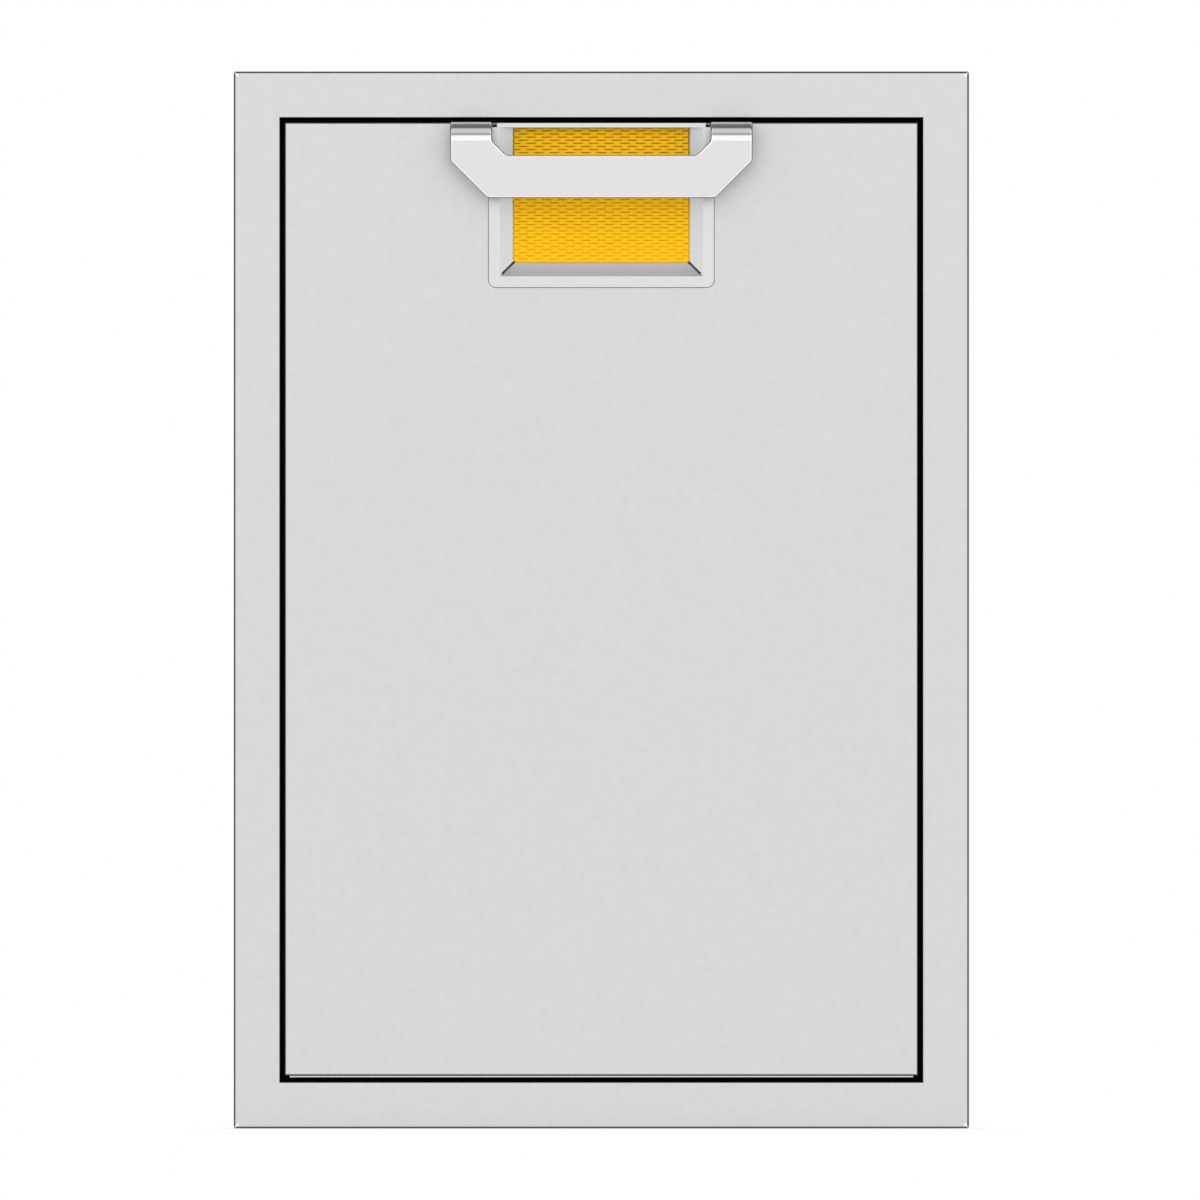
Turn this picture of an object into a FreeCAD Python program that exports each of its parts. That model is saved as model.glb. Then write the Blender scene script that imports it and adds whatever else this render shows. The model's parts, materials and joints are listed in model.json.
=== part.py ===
import FreeCAD, Part
import math
import os

# Roll-out waste drawer that is built into an outdoor kitchen island, in millimetres.
# +X is right, +Y goes into the island and +Z is up. The origin is the centre of the trim
# frame's back edge, in the plane of the island's face.

Vector = FreeCAD.Vector
RIGHT = Vector(1, 0, 0)
INWARD = Vector(0, 1, 0)
UP = Vector(0, 0, 1)

# Sheet steel and the fits that many pieces share
SHEET = 1.2
REST_GAP = 0.3  # a moving piece to its stop or seat
FASTENER_PLAY = 0.1  # a shank to the wall of its hole
SAME_PLACE = 0.01  # points this close count as one
LARGEST_ROUND = 0.45  # share of a wall that one rounded corner may take

# Trim frame round the cut-out
FRAME_WIDTH = 508.0
FRAME_HEIGHT = 730.25
FRAME_FACE = 32.0  # outer edge to opening
FRAME_PROUD = 12.7  # the face stands this far in front of the island
FRAME_EDGE_RADIUS = 1.6
OPENING_EDGE_RADIUS = 0.75
JAMB_DEPTH = 24.0  # the jamb reaches this far into the island
CORNER_SLIT_WIDTH = 1.3  # bend relief at each outer corner
CORNER_SLIT_LENGTH = 3.2
CORNER_SLIT_DEPTH = 3.5

# Housing behind the frame, open at the top
HOUSING_SETBACK = 2.0  # its panels start this far behind the island's face
PANEL_FLANGE = 12.0
FLOOR_FLANGE = 20.0
REAR_SPACE = 2.8  # slides to back panel
MOUNT_HOLE_RADIUS = 2.75
MOUNT_HOLE_SETBACK = 40.0  # hole rows from the island's face and from the back panel
MOUNT_HOLE_RISE = 280.0  # hole rows above and below the middle

# Full-extension ball slides
SLIDE_LENGTH = 550.0
SLIDE_HEIGHT = 45.0
SLIDE_THICKNESS = 12.7
SLIDE_GAUGE = 1.2
SLIDE_BEND = 0.3  # inside radius
SLIDE_SETBACK = 2.0  # jamb to slide
SLIDE_RISE = 95.0  # slide's middle above the underside of the tray
BALL_RADIUS = 2.0
BALL_PLAY = 0.1
BALLS_PER_ROW = 8
CAGE_GAUGE = 0.6
CAGE_MARGIN = 14.5  # cage to the end of the members that it runs in, at full extension
RUN_GAP = 0.3  # between sheets that slide past each other
LIP_GAP = 1.0  # a member's lip to the next member's flange
BUFFER_LENGTH = 5.7
BUFFER_ROUND = 1.5

# Levers that release the drawer from its slides
LEVER_LENGTH = 60.0  # pin to tip
LEVER_HEIGHT = 11.0
LEVER_TIP = 4.6
LEVER_NECK = 11.0  # where the boss has narrowed to the arm, from the pin
LEVER_ROUND = 4.0
LEVER_THICKNESS = 3.4
LEVER_PIN_RADIUS = 2.0
LEVER_PIN_HEAD = 3.4
LEVER_PIN_SETBACK = 40.0  # from the rear end of the drawer member

# Drawer front
FRONT_GAP = 3.2  # front to opening at the sides and top
FRONT_GAP_BELOW = 3.4  # tongue to opening
FRONT_DEPTH = 23.1
FRONT_EDGE_RADIUS = 1.2
LINER_SHEET = 0.9
TONGUE_STEP = 0.25  # tongue below the skin's lower edge
TONGUE_SETBACK = 1.2  # tongue behind the skin's face
TONGUE_INSET = 3.4  # tongue's ends inside the skin's ends
SEAL_DEPTH = 6.0
SEAL_WIDTH = 9.1
SEAL_GAP = 0.6  # seal to jamb
SEAL_ROUND = 2.5

# Recessed pocket behind the pull
POCKET_WIDTH = 156.4
POCKET_HEIGHT = 114.3
POCKET_CORNER = 5.5
POCKET_RING = 8.0
POCKET_RAIL = 2.9  # ring along the top
RAIL_DROP = 0.5  # rail below the skin's top edge
POCKET_PROUD = 1.0
POCKET_EDGE_RADIUS = 0.6
POCKET_DEPTH = 7.0
POCKET_SLOPE = 9.5  # how far each sloped wall runs in
POCKET_SHEET = 1.0
POCKET_LAP = 2.4  # ring over the skin round its cut-out
MITRE_SLIT = 1.6  # open seam at each lower corner
RAIL_SLOT = 3.4  # relief slot at each end of the rail
RAIL_OVERHANG = 1.9  # rail past the recess at each end
ACCENT_SHEET = 1.0
ACCENT_GAP = 0.3
ACCENT_CORNER = 1.8

# Pull
HANDLE_WIDTH = 208.8
HANDLE_HEIGHT = 52.6
HANDLE_BAR = 29.8
HANDLE_LEG = 29.0
HANDLE_PLATE = 5.0
HANDLE_REACH = 30.0  # front of the pull in front of the skin
HANDLE_BEND = 13.0
HANDLE_OUTER_CORNER = 26.1  # 45 degree corners
HANDLE_INNER_CORNER = 9.6
HANDLE_ROUND = 3.5
HANDLE_EDGE_RADIUS = 1.4
FOOT_DROP = 27.0
FOOT_THICKNESS = 6.0
FOOT_CLEARANCE = 1.2  # foot to pocket ring
BACKING_SHEET = 2.0

# Tray that carries the bins
TRAY_CLEARANCE = 11.0  # above the opening's lower edge
TRAY_HEIGHT = 190.0
TRAY_BEND = 1.0  # inside radius
TRAY_REAR_SPACE = 17.6  # tray to back panel
HEM_HEIGHT = 9.0
STAY_SHEET = 1.5
STAY_FLANGE = 18.0
STAY_REACH = 148.0  # along the tray
STAY_FOOT = 60.0  # above the tray's floor
STAY_RISE = 190.0  # above the tray
STAY_CORNER = 8.0
STOP_HEIGHT = 25.0  # low stops that keep the bins in place
STOP_FOOT = 18.0
STOP_GAP = 1.5

# Lift-out bins
BIN_HEIGHT = 580.0
BIN_SIDE_SPACE = 14.0  # rim to tray wall
BIN_GAP = 6.0  # rim to rim
BIN_FRAME_GAP = 3.0  # rim to frame when a bin is lifted out
BIN_WALL = 2.2
BIN_FLOOR = 3.0
BIN_RIM = 8.0
BIN_SKIRT = 15.0
BIN_TAPER = 10.0  # on each side
BIN_CORNER = 30.0
BIN_BASE_RADIUS = 9.0
GRIP_WIDTH = 120.0
GRIP_DROP = 13.0
GRIP_ROUND = 5.0

# Fasteners
RIVET_RADIUS = 2.0
RIVET_HEAD_RADIUS = 4.0
RIVET_HEAD = 1.4
RIVET_CROWN_RADIUS = 2.4
SCREW_RADIUS = 2.5
SCREW_HEAD_RADIUS = 4.6
SCREW_HEAD = 2.8
SCREW_HEAD_ROUND = 0.9
SCREW_SOCKET_RADIUS = 1.7
SCREW_SOCKET_DEPTH = 1.6
SCREW_TIP = 1.5  # past its nut
NUT_RADIUS = 4.6
NUT_HEIGHT = 4.0
FASTENERS_PER_ROW = 3
TRAY_SCREW_SPAN = 280.0
TRAY_SCREW_INSET = 38.0  # screw rows from the tray's floor and top
SLIDE_RIVET_INSET = 70.0  # end rivets from the ends of a slide
FOOT_SCREW_SPACING = 12.0  # one above the other

# Planes that several pieces share
opening_x = FRAME_WIDTH / 2 - FRAME_FACE
opening_z = FRAME_HEIGHT / 2 - FRAME_FACE
panel_x = opening_x + SHEET
panel_z = opening_z + SHEET
face_y = -FRAME_PROUD

slide_front = JAMB_DEPTH + SLIDE_SETBACK
slide_back = slide_front + SLIDE_LENGTH
member_length = SLIDE_LENGTH - BUFFER_LENGTH - REST_GAP
back_y = slide_back + REAR_SPACE
housing_end = back_y + 2 * SHEET

front_x = opening_x - FRONT_GAP
front_top = opening_z - FRONT_GAP
tongue_bottom = -opening_z + FRONT_GAP_BELOW
skin_bottom = tongue_bottom + LINER_SHEET + TONGUE_STEP
skin_back = face_y + FRONT_DEPTH
liner_back = skin_back + LINER_SHEET

tray_x = panel_x - SLIDE_THICKNESS
tray_in_x = tray_x - SHEET
tray_bottom = -opening_z + TRAY_CLEARANCE
tray_floor = tray_bottom + SHEET
tray_top = tray_bottom + TRAY_HEIGHT
tray_in_front = liner_back + SHEET
tray_back = back_y - TRAY_REAR_SPACE
slide_z = tray_bottom + SLIDE_RISE
stay_top = tray_top + STAY_RISE

pocket_x = POCKET_WIDTH / 2
pocket_front = face_y - POCKET_PROUD
pocket_floor = pocket_front + POCKET_DEPTH
pocket_bottom = front_top - POCKET_HEIGHT
recess_x = pocket_x - POCKET_RING
recess_bottom = pocket_bottom + POCKET_RING
pocket_top = front_top - RAIL_DROP
recess_top = pocket_top - POCKET_RAIL
floor_x = recess_x - POCKET_SLOPE
floor_bottom = recess_bottom + POCKET_SLOPE

handle_front = face_y - HANDLE_REACH
foot_in = pocket_x + FOOT_CLEARANCE
foot_out = HANDLE_WIDTH / 2
foot_screw_z = front_top - SHEET - (FOOT_DROP - SHEET) / 2

bin_x = tray_in_x - BIN_SIDE_SPACE
bin_front = JAMB_DEPTH + BIN_FRAME_GAP
bin_back = SLIDE_LENGTH - FRAME_PROUD - BIN_FRAME_GAP
bin_depth = (bin_back - bin_front - BIN_GAP) / 2
bin_bottom = tray_floor + REST_GAP
bin_base_inset = BIN_RIM + BIN_TAPER

# Section of a slide: u runs from the housing panel towards the tray, v up from the slide's middle
cabinet_web = 0.0
outer_cage_web = SLIDE_GAUGE + RUN_GAP
middle_web = outer_cage_web + CAGE_GAUGE + RUN_GAP
inner_cage_web = middle_web + SLIDE_GAUGE + RUN_GAP
drawer_edge = inner_cage_web + CAGE_GAUGE + RUN_GAP
drawer_web = SLIDE_THICKNESS - SLIDE_GAUGE
middle_reach = drawer_web - RUN_GAP
cabinet_reach = middle_reach - SLIDE_GAUGE
race = BALL_RADIUS + BALL_PLAY
cabinet_half = SLIDE_HEIGHT / 2
outer_ball_v = cabinet_half - SLIDE_GAUGE - race
middle_half = outer_ball_v - race
inner_ball_v = middle_half - SLIDE_GAUGE - race
drawer_half = inner_ball_v - race
outer_ball_u = (outer_cage_web + CAGE_GAUGE + cabinet_reach - SLIDE_GAUGE) / 2
inner_ball_u = (inner_cage_web + CAGE_GAUGE + middle_reach - SLIDE_GAUGE) / 2
cage_front = slide_front + SLIDE_LENGTH / 4 + CAGE_MARGIN
cage_length = member_length - SLIDE_LENGTH / 2 - 2 * CAGE_MARGIN
lever_pin_y = slide_front + member_length - LEVER_PIN_SETBACK
lever_u = (drawer_edge + drawer_web - LEVER_THICKNESS) / 2


def block(x0, x1, y0, y1, z0, z1):
    """Box between two corners."""
    return Part.makeBox(x1 - x0, y1 - y0, z1 - z0, Vector(x0, y0, z0))


def slab(half_x, y0, y1, z0, z1):
    """Box that is centred on the middle plane."""
    return block(-half_x, half_x, y0, y1, z0, z1)


def fused(first, *others):
    """One solid from overlapping or touching ones."""
    return first.fuse(list(others)).removeSplitter()


def mirrored(shape):
    """The same piece for the left side."""
    return shape.mirror(Vector(0, 0, 0), RIGHT)


def both_sides(shapes):
    """Right-hand pieces together with their left-hand copies."""
    return shapes + [mirrored(shape) for shape in shapes]


def evenly(first, last, count):
    """Places from first to last."""
    return [first + (last - first) * i / (count - 1) for i in range(count)]


def rounded_wire(corners, to_space):
    """Closed outline through (a, b, radius) corners, placed in space by to_space(a, b)."""
    count = len(corners)
    starts = []
    ends = []
    arcs = []
    for i, (a, b, radius) in enumerate(corners):
        here = Vector(a, b, 0)
        back = Vector(*corners[i - 1][:2], 0) - here
        ahead = Vector(*corners[(i + 1) % count][:2], 0) - here
        back.normalize()
        ahead.normalize()
        half_angle = back.getAngle(ahead) / 2
        reach = radius / math.tan(half_angle)
        starts.append(here + back * reach)
        ends.append(here + ahead * reach)
        middle = back + ahead
        middle.normalize()
        arcs.append(here + middle * (radius / math.sin(half_angle) - radius))
    edges = []
    for i in range(count):
        start = to_space(starts[i].x, starts[i].y)
        end = to_space(ends[i].x, ends[i].y)
        following = starts[(i + 1) % count]
        after = to_space(following.x, following.y)
        if corners[i][2] > 0:
            edges.append(Part.Arc(start, to_space(arcs[i].x, arcs[i].y), end).toShape())
        edges.append(Part.LineSegment(end, after).toShape())
    return Part.Wire(edges)


def prism(corners, to_space, sweep):
    """Solid swept from a rounded outline."""
    return Part.Face(rounded_wire(corners, to_space)).extrude(sweep)


def rectangle_wire(half_x, half_y, centre_y, z, radius):
    """Level rounded rectangle."""
    corners = [
        (-half_x, centre_y - half_y, radius),
        (half_x, centre_y - half_y, radius),
        (half_x, centre_y + half_y, radius),
        (-half_x, centre_y + half_y, radius),
    ]
    return rounded_wire(corners, lambda x, y: Vector(x, y, z))


def edges_where(shape, test):
    """Edges whose ends both pass the test."""
    return [edge for edge in shape.Edges if all(test(vertex.Point) for vertex in edge.Vertexes)]


def near(value, target):
    return abs(value - target) < SAME_PLACE


def limited(radius, wall):
    """Radius that leaves a flat between two rounded corners of a wall."""
    return min(radius, LARGEST_ROUND * wall)


def rivet(seat, outward, grip):
    """Rivet with its head outward of the seat, set flush on the far side of the grip."""
    head = Part.makeCone(RIVET_HEAD_RADIUS, RIVET_CROWN_RADIUS, RIVET_HEAD, seat, outward)
    shank = Part.makeCylinder(RIVET_RADIUS, grip, seat - outward * grip, outward)
    return fused(head, shank)


def rivet_hole(seat, outward, grip):
    return Part.makeCylinder(RIVET_RADIUS + FASTENER_PLAY, grip, seat - outward * grip, outward)


def hexagon(radius, height, base, axis):
    """Six-sided prism on a base point."""
    points = [Vector(radius, 0, 0)]
    for i in range(1, 7):
        points.append(Vector(radius * math.cos(math.pi * i / 3), radius * math.sin(math.pi * i / 3), 0))
    solid = Part.Face(Part.makePolygon(points)).extrude(UP * height)
    solid.Placement = FreeCAD.Placement(base, FreeCAD.Rotation(UP, axis))
    return solid


def screw(seat, outward, length):
    """Socket-head screw with its head outward of the seat."""
    head = Part.makeCylinder(SCREW_HEAD_RADIUS, SCREW_HEAD, seat, outward)
    rim = [edge for edge in head.Edges if near((edge.CenterOfMass - seat).dot(outward), SCREW_HEAD)]
    head = head.makeFillet(SCREW_HEAD_ROUND, rim)
    shank = Part.makeCylinder(SCREW_RADIUS, length, seat - outward * length, outward)
    socket_floor = seat + outward * (SCREW_HEAD - SCREW_SOCKET_DEPTH)
    socket = hexagon(SCREW_SOCKET_RADIUS, SCREW_SOCKET_DEPTH, socket_floor, outward)
    return fused(head, shank).cut(socket)


def screw_hole(seat, outward, depth):
    return Part.makeCylinder(SCREW_RADIUS + FASTENER_PLAY, depth, seat - outward * depth, outward)


# Where the fasteners go, for the right-hand side unless said otherwise


def jamb_rivet_seats():
    y = (HOUSING_SETBACK + JAMB_DEPTH) / 2
    rows = evenly(-MOUNT_HOLE_RISE, MOUNT_HOLE_RISE, FASTENERS_PER_ROW)
    return [Vector(panel_x + SHEET, y, z) for z in rows]


def floor_rivet_seats():
    z = -panel_z + FLOOR_FLANGE / 2
    rows = evenly(slide_front + SLIDE_RIVET_INSET, slide_back - SLIDE_RIVET_INSET, FASTENERS_PER_ROW)
    return [Vector(panel_x + SHEET, y, z) for y in rows]


def back_rivet_seats():
    x = panel_x - PANEL_FLANGE / 2
    rows = evenly(-MOUNT_HOLE_RISE, MOUNT_HOLE_RISE, FASTENERS_PER_ROW)
    return [Vector(x, housing_end, z) for z in rows]


def slide_rivet_places():
    return evenly(slide_front + SLIDE_RIVET_INSET, slide_back - SLIDE_RIVET_INSET, FASTENERS_PER_ROW)


def slide_housing_seats():
    return [Vector(panel_x + SHEET, y, slide_z) for y in slide_rivet_places()]


def slide_tray_seats():
    rear = lever_pin_y - LEVER_LENGTH
    rows = evenly(tray_in_front + STAY_REACH + SLIDE_RIVET_INSET / 2, rear, FASTENERS_PER_ROW)
    return [Vector(tray_in_x, y, slide_z) for y in rows]


def stay_rivet_seats():
    x = tray_in_x - STAY_SHEET
    y = tray_in_front + STAY_REACH / 2
    low = tray_floor + STAY_FOOT + STAY_CORNER
    return [Vector(x, y, z) for z in (low, tray_top - HEM_HEIGHT - 2 * RIVET_HEAD_RADIUS)]


def stay_screw_seats():
    x = tray_in_x - (STAY_SHEET + STAY_FLANGE) / 2
    y = liner_back + STAY_SHEET
    ends = 2 * SCREW_HEAD_RADIUS
    return [Vector(x, y, z) for z in evenly(tray_top + ends, stay_top - ends, FASTENERS_PER_ROW)]


def tray_screw_seats():
    """Both sides: two rows across the tray's front wall."""
    columns = evenly(-TRAY_SCREW_SPAN / 2, TRAY_SCREW_SPAN / 2, FASTENERS_PER_ROW)
    rows = (tray_floor + TRAY_SCREW_INSET, tray_top - TRAY_SCREW_INSET)
    return [Vector(x, tray_in_front, z) for x in columns for z in rows]


def front_screws():
    """Both sides: (seat, stack of sheet under the head) of each screw into the liner."""
    stays = both_sides([Part.Vertex(seat) for seat in stay_screw_seats()])
    through_stays = [(vertex.Point, STAY_SHEET + LINER_SHEET) for vertex in stays]
    through_tray = [(seat, SHEET + LINER_SHEET) for seat in tray_screw_seats()]
    return through_stays + through_tray


def foot_screw_seats():
    middle = (foot_in + foot_out) / 2
    y = face_y + SHEET + BACKING_SHEET
    return [Vector(middle, y, foot_screw_z + side * FOOT_SCREW_SPACING / 2) for side in (-1, 1)]


# Fixed pieces


def corner_slits():
    """Diagonal bend reliefs in the face at the four outer corners."""
    slits = []
    reach = CORNER_SLIT_LENGTH * math.sqrt(2)
    for side_x in (-1, 1):
        for side_z in (-1, 1):
            corner = Vector(side_x * FRAME_WIDTH / 2, face_y, side_z * FRAME_HEIGHT / 2)
            slit = block(-reach, reach, 0, CORNER_SLIT_DEPTH, -CORNER_SLIT_WIDTH / 2, CORNER_SLIT_WIDTH / 2)
            slit.rotate(Vector(0, 0, 0), INWARD, -45 * side_x * side_z)
            slit.translate(corner)
            slits.append(slit)
    return slits


def trim_frame():
    """Folded trim with returns to the island's face and a jamb into the cut-out."""
    half_x = FRAME_WIDTH / 2
    half_z = FRAME_HEIGHT / 2
    outer = slab(half_x, face_y, 0, -half_z, half_z)
    outer = outer.makeFillet(FRAME_EDGE_RADIUS, edges_where(outer, lambda p: near(p.y, face_y)))
    hollow = slab(half_x - SHEET, face_y + SHEET, 0, -half_z + SHEET, half_z - SHEET)
    jamb = slab(panel_x, face_y, JAMB_DEPTH, -panel_z, panel_z)
    opening = slab(opening_x, face_y, JAMB_DEPTH, -opening_z, opening_z)
    frame = fused(outer.cut(hollow), jamb.cut(slab(opening_x, face_y, 0, -opening_z, opening_z)))
    frame = frame.cut(opening)

    def on_opening_edge(point):
        on_side = near(abs(point.x), opening_x) and abs(point.z) < opening_z + SHEET / 2
        return near(point.y, face_y) and on_side

    frame = frame.makeFillet(OPENING_EDGE_RADIUS, edges_where(frame, on_opening_edge))
    holes = both_sides([rivet_hole(seat, RIGHT, 2 * SHEET) for seat in jamb_rivet_seats()])
    return frame.cut(corner_slits() + holes)


def mount_holes():
    """Screw holes through the right-hand side panel."""
    holes = []
    for y in (MOUNT_HOLE_SETBACK, back_y - MOUNT_HOLE_SETBACK):
        for z in (-MOUNT_HOLE_RISE, MOUNT_HOLE_RISE):
            holes.append(Part.makeCylinder(MOUNT_HOLE_RADIUS, SHEET, Vector(panel_x, y, z), RIGHT))
    return holes


def housing_right_side():
    """Side panel with in-turned flanges at the top and rear."""
    plate = block(panel_x, panel_x + SHEET, HOUSING_SETBACK, housing_end, -panel_z - SHEET, panel_z + SHEET)
    inner = panel_x - PANEL_FLANGE
    top = block(inner, panel_x, HOUSING_SETBACK, housing_end, panel_z, panel_z + SHEET)
    rear = block(inner, panel_x, housing_end - SHEET, housing_end, -panel_z - SHEET, panel_z)
    holes = mount_holes()
    for seat in jamb_rivet_seats() + floor_rivet_seats() + slide_housing_seats():
        holes.append(rivet_hole(seat, RIGHT, 2 * SHEET))
    for seat in back_rivet_seats():
        holes.append(rivet_hole(seat, INWARD, 2 * SHEET))
    return fused(plate, top, rear).cut(holes)


def housing_floor():
    """Floor pan with upturned flanges inside the side panels."""
    plate = slab(panel_x, HOUSING_SETBACK, back_y + SHEET, -panel_z - SHEET, -panel_z)
    flange_front = JAMB_DEPTH + RUN_GAP
    flange = block(panel_x - SHEET, panel_x, flange_front, back_y, -panel_z, -panel_z + FLOOR_FLANGE)
    holes = both_sides([rivet_hole(seat, RIGHT, 2 * SHEET) for seat in floor_rivet_seats()])
    return fused(plate, flange, mirrored(flange)).cut(holes)


def housing_back():
    """Back panel with a stiffening flange along its top."""
    plate = slab(panel_x, back_y, back_y + SHEET, -panel_z, panel_z)
    flange = slab(panel_x, back_y - PANEL_FLANGE, back_y, panel_z - SHEET, panel_z)
    holes = both_sides([rivet_hole(seat, INWARD, 2 * SHEET) for seat in back_rivet_seats()])
    return fused(plate, flange).cut(holes)


def housing_rivets():
    rivets = [rivet(seat, RIGHT, 2 * SHEET) for seat in jamb_rivet_seats() + floor_rivet_seats()]
    rivets += [rivet(seat, INWARD, 2 * SHEET) for seat in back_rivet_seats()]
    return Part.makeCompound(both_sides(rivets))


# Slides, all for the right-hand side


def on_slide(u, v, y):
    """Point of a slide's section at depth y."""
    return Vector(panel_x - u, y, slide_z + v)


def slide_prism(corners, front, length):
    return prism(corners, lambda u, v: on_slide(u, v, front), INWARD * length)


def lipped_channel(web, reach, half, lip_end, front, length):
    """Member with a web, two flanges and inward lips that keep the balls in."""
    gauge = SLIDE_GAUGE
    inside = half - gauge
    upper = [
        (web + gauge, inside, SLIDE_BEND),
        (reach - gauge, inside, SLIDE_BEND),
        (reach - gauge, lip_end, 0),
        (reach, lip_end, 0),
        (reach, half, SLIDE_BEND + gauge),
        (web, half, SLIDE_BEND + gauge),
    ]
    lower = [(u, -v, radius) for u, v, radius in reversed(upper)]
    return slide_prism(upper + lower, front, length)


def slide_cabinet_member():
    lip_end = middle_half + LIP_GAP
    member = lipped_channel(cabinet_web, cabinet_reach, cabinet_half, lip_end, slide_front, SLIDE_LENGTH)
    grip = SHEET + SLIDE_GAUGE
    return member.cut([rivet_hole(seat, RIGHT, grip) for seat in slide_housing_seats()])


def slide_intermediate_member():
    lip_end = drawer_half + LIP_GAP
    return lipped_channel(middle_web, middle_reach, middle_half, lip_end, slide_front, member_length)


def slide_drawer_member():
    gauge = SLIDE_GAUGE
    inside = drawer_half - gauge
    upper = [
        (drawer_web, inside, SLIDE_BEND),
        (drawer_edge, inside, 0),
        (drawer_edge, drawer_half, 0),
        (SLIDE_THICKNESS, drawer_half, SLIDE_BEND + gauge),
    ]
    lower = [(u, -v, radius) for u, v, radius in reversed(upper)]
    member = slide_prism(upper + lower, slide_front, member_length)
    grip = SHEET + gauge
    holes = [rivet_hole(seat, -RIGHT, grip) for seat in slide_tray_seats()]
    pin_hole = Part.makeCylinder(
        LEVER_PIN_RADIUS + FASTENER_PLAY, gauge, on_slide(drawer_web, 0, lever_pin_y), -RIGHT
    )
    return member.cut(holes + [pin_hole])


def ball_places():
    pitch = cage_length / BALLS_PER_ROW
    return [cage_front + pitch * (i + 0.5) for i in range(BALLS_PER_ROW)]


def slide_balls(u, v):
    """Upper and lower rows of balls."""
    balls = []
    for y in ball_places():
        for side in (-1, 1):
            balls.append(Part.makeSphere(BALL_RADIUS, on_slide(u, side * v, y)))
    return Part.makeCompound(balls)


def slide_cage(web, reach, ball_u, ball_v):
    """Thin channel with a hole for each ball."""
    half = ball_v + CAGE_GAUGE / 2
    inside = half - CAGE_GAUGE
    upper = [
        (web + CAGE_GAUGE, inside, 0),
        (reach, inside, 0),
        (reach, half, 0),
        (web, half, CAGE_GAUGE),
    ]
    lower = [(u, -v, radius) for u, v, radius in reversed(upper)]
    cage = slide_prism(upper + lower, cage_front, cage_length)
    holes = []
    for y in ball_places():
        foot = on_slide(ball_u, -SLIDE_HEIGHT / 2, y)
        holes.append(Part.makeCylinder(race, SLIDE_HEIGHT, foot, UP))
    return cage.cut(holes)


def slide_outer_cage():
    reach = cabinet_reach - SLIDE_GAUGE - RUN_GAP
    return slide_cage(outer_cage_web, reach, outer_ball_u, outer_ball_v)


def slide_inner_cage():
    reach = middle_reach - SLIDE_GAUGE - RUN_GAP
    return slide_cage(inner_cage_web, reach, inner_ball_u, inner_ball_v)


def slide_end_buffer():
    """Rubber stop across the rear end of the cabinet member."""
    half = cabinet_half - SLIDE_GAUGE - RUN_GAP
    front = slide_back - BUFFER_LENGTH
    reach = cabinet_reach - SLIDE_GAUGE - RUN_GAP
    corners = [
        (SLIDE_GAUGE, -half, 0),
        (reach, -half, BUFFER_ROUND),
        (reach, half, BUFFER_ROUND),
        (SLIDE_GAUGE, half, 0),
    ]
    return slide_prism(corners, front, BUFFER_LENGTH)


def slide_housing_rivets():
    grip = SHEET + SLIDE_GAUGE
    return Part.makeCompound(both_sides([rivet(seat, RIGHT, grip) for seat in slide_housing_seats()]))


def slide_tray_rivets():
    grip = SHEET + SLIDE_GAUGE
    return Part.makeCompound(both_sides([rivet(seat, -RIGHT, grip) for seat in slide_tray_seats()]))


def release_lever():
    """Moulded lever that reaches forward from its pin inside the drawer member."""
    end = LEVER_HEIGHT / 2
    tip = LEVER_TIP / 2
    end_round = limited(LEVER_ROUND, LEVER_HEIGHT)
    tip_round = limited(LEVER_ROUND, LEVER_TIP)
    upper = [
        (lever_pin_y + end, end, end_round),
        (lever_pin_y - end, end, end_round),
        (lever_pin_y - LEVER_NECK, tip, tip_round),
        (lever_pin_y - LEVER_LENGTH, tip, tip_round),
    ]
    corners = upper + [(y, -v, radius) for y, v, radius in reversed(upper)]
    lever = prism(corners, lambda y, v: on_slide(lever_u, v, y), -RIGHT * LEVER_THICKNESS)
    bore = Part.makeCylinder(
        LEVER_PIN_RADIUS + FASTENER_PLAY, LEVER_THICKNESS, on_slide(lever_u, 0, lever_pin_y), -RIGHT
    )
    return lever.cut(bore)


def release_lever_pin():
    """Headed pin through the drawer member's web that the lever turns on."""
    head_u = lever_u - RUN_GAP - SLIDE_GAUGE
    head = Part.makeCylinder(LEVER_PIN_HEAD, SLIDE_GAUGE, on_slide(head_u, 0, lever_pin_y), -RIGHT)
    length = SLIDE_THICKNESS - head_u
    shank = Part.makeCylinder(LEVER_PIN_RADIUS, length, on_slide(head_u, 0, lever_pin_y), -RIGHT)
    return fused(head, shank)


# Drawer front


def drawer_front_skin():
    """Outer pan of the drawer front, cut away behind the pocket."""
    pan = slab(front_x, face_y, skin_back, skin_bottom, front_top)
    pan = pan.makeFillet(FRONT_EDGE_RADIUS, edges_where(pan, lambda p: near(p.y, face_y)))
    hollow = slab(front_x - SHEET, face_y + SHEET, skin_back, skin_bottom + SHEET, front_top - SHEET)
    cut_x = pocket_x - POCKET_LAP
    cut_out = slab(cut_x, face_y, face_y + SHEET, pocket_bottom + POCKET_LAP, front_top - SHEET)
    depth = SHEET + BACKING_SHEET
    holes = both_sides([screw_hole(seat, INWARD, depth) for seat in foot_screw_seats()])
    return pan.cut([hollow, cut_out] + holes)


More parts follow.
